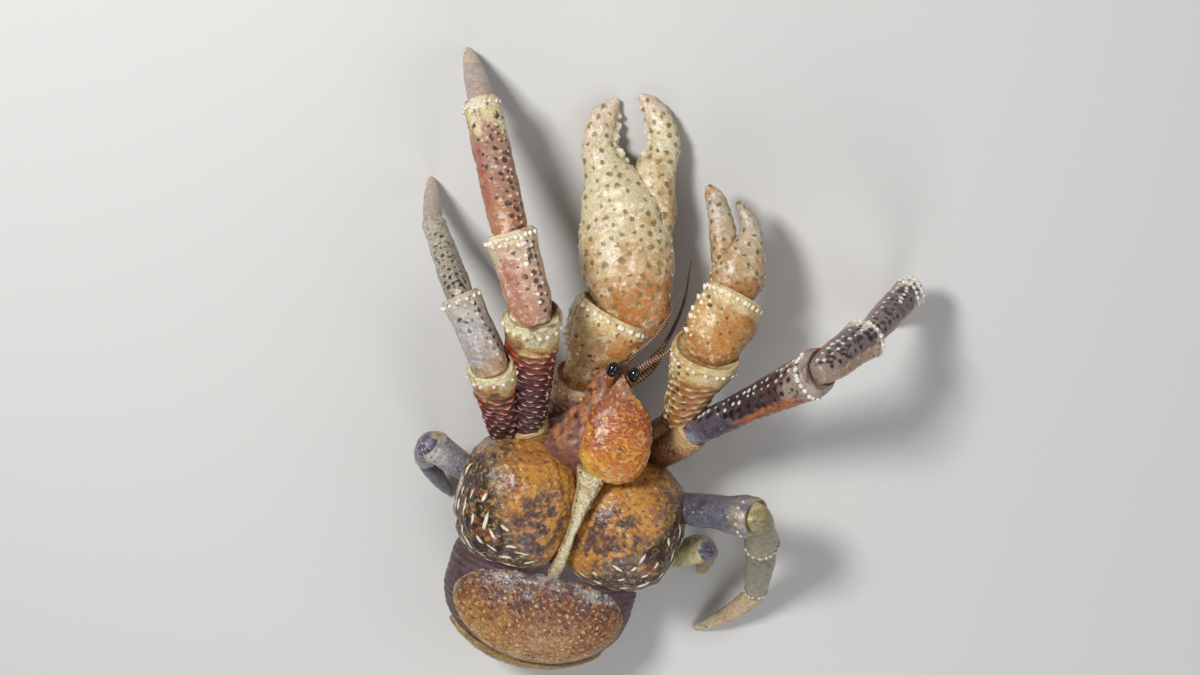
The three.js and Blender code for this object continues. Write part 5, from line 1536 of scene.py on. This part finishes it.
def build_skin():
    """The skin's rings from rear to front, wrinkled across the bag and the waist, with orange stains,
    dark blotches and pale streaks on the chest, painted shade in the troughs of the wrinkles, and pale
    tops on them."""
    t = (1 - np.cos(np.pi * np.linspace(0, 1, SKIN_RINGS + 2)[1:-1])) / 2
    ahead = SKIN_REAR + (SKIN_FRONT - SKIN_REAR) * t
    reaches = [reach_of(TRUNK_ROWS, ahead), reach_of(WAIST_ROWS, ahead), bag_reach(ahead)]
    wide = evened(np.max([r[0] for r in reaches], axis=0))
    high = evened(np.max([r[1] for r in reaches], axis=0))
    low = evened(np.min([r[2] for r in reaches], axis=0))
    middle = (high + low) / 2
    c, s = rounded_square(2 * np.pi * np.arange(SKIN_SIDES) / SKIN_SIDES, SKIN_SQUARE)
    middle_right = BAG_CENTRE[1] * soft_step(-ahead, 30, 90)
    right = middle_right[:, None] + wide[:, None] * c
    height = middle[:, None] + ((high - low) / 2)[:, None] * s
    ahead = ahead[:, None]
    points = body_point(np.broadcast_to(ahead, right.shape), right, height)
    wrinkle = np.sin(ahead * WRINKLES + WRINKLE_BEND * waves(points, 0.03, 5))
    bend = waves(points, 0.014, 6, 3)
    on_bag = soft_step(-ahead, 30, 60)
    # The crest mask follows the wrinkles and bends: the finish paints shade where it is low and paints it
    # pale where it is high.
    crest = wrinkle * (0.4 + 0.3 * bend) * on_bag + 0.5 * bend * (1 - on_bag)
    lift = (crest * CREST_RISE + bend * BEND_RISE) * soft_step(height, 2, 14)
    chest = soft_step(ahead, 20, 50)
    shell = closed_stack(
        points + grid_normals(points) * (lift * MM)[..., None],
        body_point(ahead[0, 0] - SKIN_END, middle_right[0], middle[0]),
        body_point(ahead[-1, 0] + SKIN_END, 0, middle[-1]),
        along=soft_step(ahead, SKIN_REAR, SKIN_FRONT), top=s[None], crest=crest,
        accent=chest * (0.8 + 0.5 * waves(points, 0.011, 8, 3)),
        spot=chest * 0.75 * soft_step(waves(points, 0.012, 9, 3), 0.1, 0.9),
        stud=chest * 0.5 * soft_step(waves(points, 0.01, 10, 3), 0.45, 1.1),
    )
    add_piece("soft_skin", [shell], FINISHES["skin"], ["thorax", "abdomen_soft"])


build_skin()

# %% [markdown]
# ## Eyes
# The crab's eyes stand on short stalks beside the beak. They are smooth, black and wet, and the
# stalks are shell. An eye is worked out like the rest: rings of points, closed at both ends.
# %% Eyes
EYE_AHEAD, EYE_OUT, EYE_HEIGHT = 112, 8.5, 94
HEAD_RIGHT = 5
EYE_RADII = (4.6, 6.1, 4.6)
EYE_RINGS, EYE_SIDES = 40, 64
EYE_BLACK, EYE_ROUGHNESS, EYE_COAT = (0.006, 0.005, 0.005), 0.12, 0.6
STALK_ROOT = (94, 5, 86)
STALK_SIZES = [[0, 4, 4], [0.5, 3.6, 3.6], [1, 4, 4]]
STALK_LENGTH = 24


def eye_finish():
    """Black and wet, with a faint brown warmth."""
    material = plain_finish("eye", EYE_BLACK, EYE_ROUGHNESS)
    material.node_tree.nodes["Principled BSDF"].inputs["Coat Weight"].default_value = EYE_COAT
    return material


def build_eye(side_name, centre):
    """An eye: an ellipsoid whose longest axis points ahead."""
    latitude = np.linspace(-np.pi / 2, np.pi / 2, EYE_RINGS + 2)[1:-1, None]
    around = 2 * np.pi * np.arange(EYE_SIDES)[None] / EYE_SIDES
    ahead = centre[0] + EYE_RADII[1] * np.cos(latitude) * np.sin(around)
    right = centre[1] + EYE_RADII[0] * np.cos(latitude) * np.cos(around)
    height = np.broadcast_to(centre[2] + EYE_RADII[2] * np.sin(latitude), ahead.shape)
    bottom, top = (body_point(*centre[:2], centre[2] + way * EYE_RADII[2]) for way in (-1, 1))
    shell = closed_stack(body_point(ahead, right, height), bottom, top)
    add_piece(f"eye_{side_name}_ball", [shell], FINISHES["eye"], [f"eye_{side_name}"])


def build_stalk(side_name, sign, centre):
    """The short stalk that an eye stands on."""
    start = body_point(STALK_ROOT[0], HEAD_RIGHT + sign * STALK_ROOT[1], STALK_ROOT[2])
    path = straight_path(start, body_point(*centre))
    surface = limb_surface(path, STALK_SIZES, STALK_LENGTH, TIP_LENGTH, power=2.0)
    dress_limb(f"eyestalk_{side_name}", surface, dict(finish="mouth", wave=0.3))


FINISHES["eye"] = eye_finish()
print("an eye has", EYE_RINGS, "rings of", EYE_SIDES, "points")

# %% [markdown]
# ## Mouth legs and feelers
# A pair of mouth legs hangs in front of the mouth. Four feelers, made of many short rings, grow
# beside them: two short ones reach out in front, and two long ones run on between and under the
# claws. A feeler is a limb's tube again, with rings for its only relief.
# %% Mouth legs and feelers
MOUTH_LEG = [(70, 9, 42), (98, 11, 38), (122, 9, 34), (130, 6, 20)]
MOUTH_LEG_SIZES = [[0, 6, 6], [0.3, 7.5, 7], [0.7, 6, 6], [1, 2.5, 2.5]]
FEELERS = {
    "antennule_l": (3.2, [(100, 4, 72), (118, 9, 78), (142, 22, 84), (160, 30, 76), (172, 36, 62)]),
    "antennule_r": (3.2, [(100, 12, 72), (116, 22, 78), (136, 38, 82), (154, 44, 72), (164, 47, 58)]),
    "antenna_l": (4.5, [(96, -14, 62), (110, -18, 50), (128, -18, 34), (150, -22, 20), (170, -40, 12)]),
    "antenna_r": (4.5, [(94, 15, 66), (108, 26, 68), (130, 36, 60), (160, 44, 44), (196, 42, 30)]),
}
FEELER_RING = 2.2
FEELER_FINENESS = 2.4
FEELER_TIP = 0.5


def build_mouth_leg(side_name, sign):
    """One of the outermost mouth legs, bent down in front of the mouth."""
    path = body_path([(ahead, sign * right, height) for ahead, right, height in MOUTH_LEG])
    surface = limb_surface(path, MOUTH_LEG_SIZES, path_length(path), TIP_LENGTH, power=2.2)
    look = dict(finish="mouth", wave=0.4, grain=(3.4, 1.1, 0.35, -0.6, 0.6))
    dress_limb(f"maxilliped_{side_name}", surface, look)


def build_feeler(name, stem, places):
    """A feeler: a thick stem, then a whip that tapers, with low rings all along and painted shade
    between them.
    """
    path = body_path(places)
    length = path_length(path)
    widths = {0: stem, 0.25: stem, 0.36: 0.45 * stem, 0.7: 1.1, 1: 0.5}
    sizes = [[at, wide, wide] for at, wide in widths.items()]
    surface = limb_surface(path, sizes, length * FEELER_FINENESS, FEELER_TIP, power=2.0)
    # The rings set the crest mask too, so the finish paints shade between them.
    look = dict(finish="feeler", wave=0.1, rings=length / FEELER_RING)
    dress_limb(name, surface, look)


print(len(FEELERS), "feelers")

# %% [markdown]
# ## Build the head
# The head is a little off the body's middle, as in the photograph, and its left and right sides
# mirror each other. The feelers differ, because each bends its own way.
# %% Build the head
for side_name, sign in (("l", -1), ("r", 1)):
    eye_centre = (EYE_AHEAD, HEAD_RIGHT + sign * EYE_OUT, EYE_HEIGHT)
    build_eye(side_name, eye_centre)
    build_stalk(side_name, sign, eye_centre)
    build_mouth_leg(side_name, sign)
for name, (stem, places) in FEELERS.items():
    build_feeler(name, stem, places)

dressed_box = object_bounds()
sizes = {
    "solids": [list(solid_box[0]), list(solid_box[1])],
    "dressed": [list(dressed_box[0]), list(dressed_box[1])],
}
print("dressed box", [round(v, 4) for v in (*dressed_box[0], *dressed_box[1])])
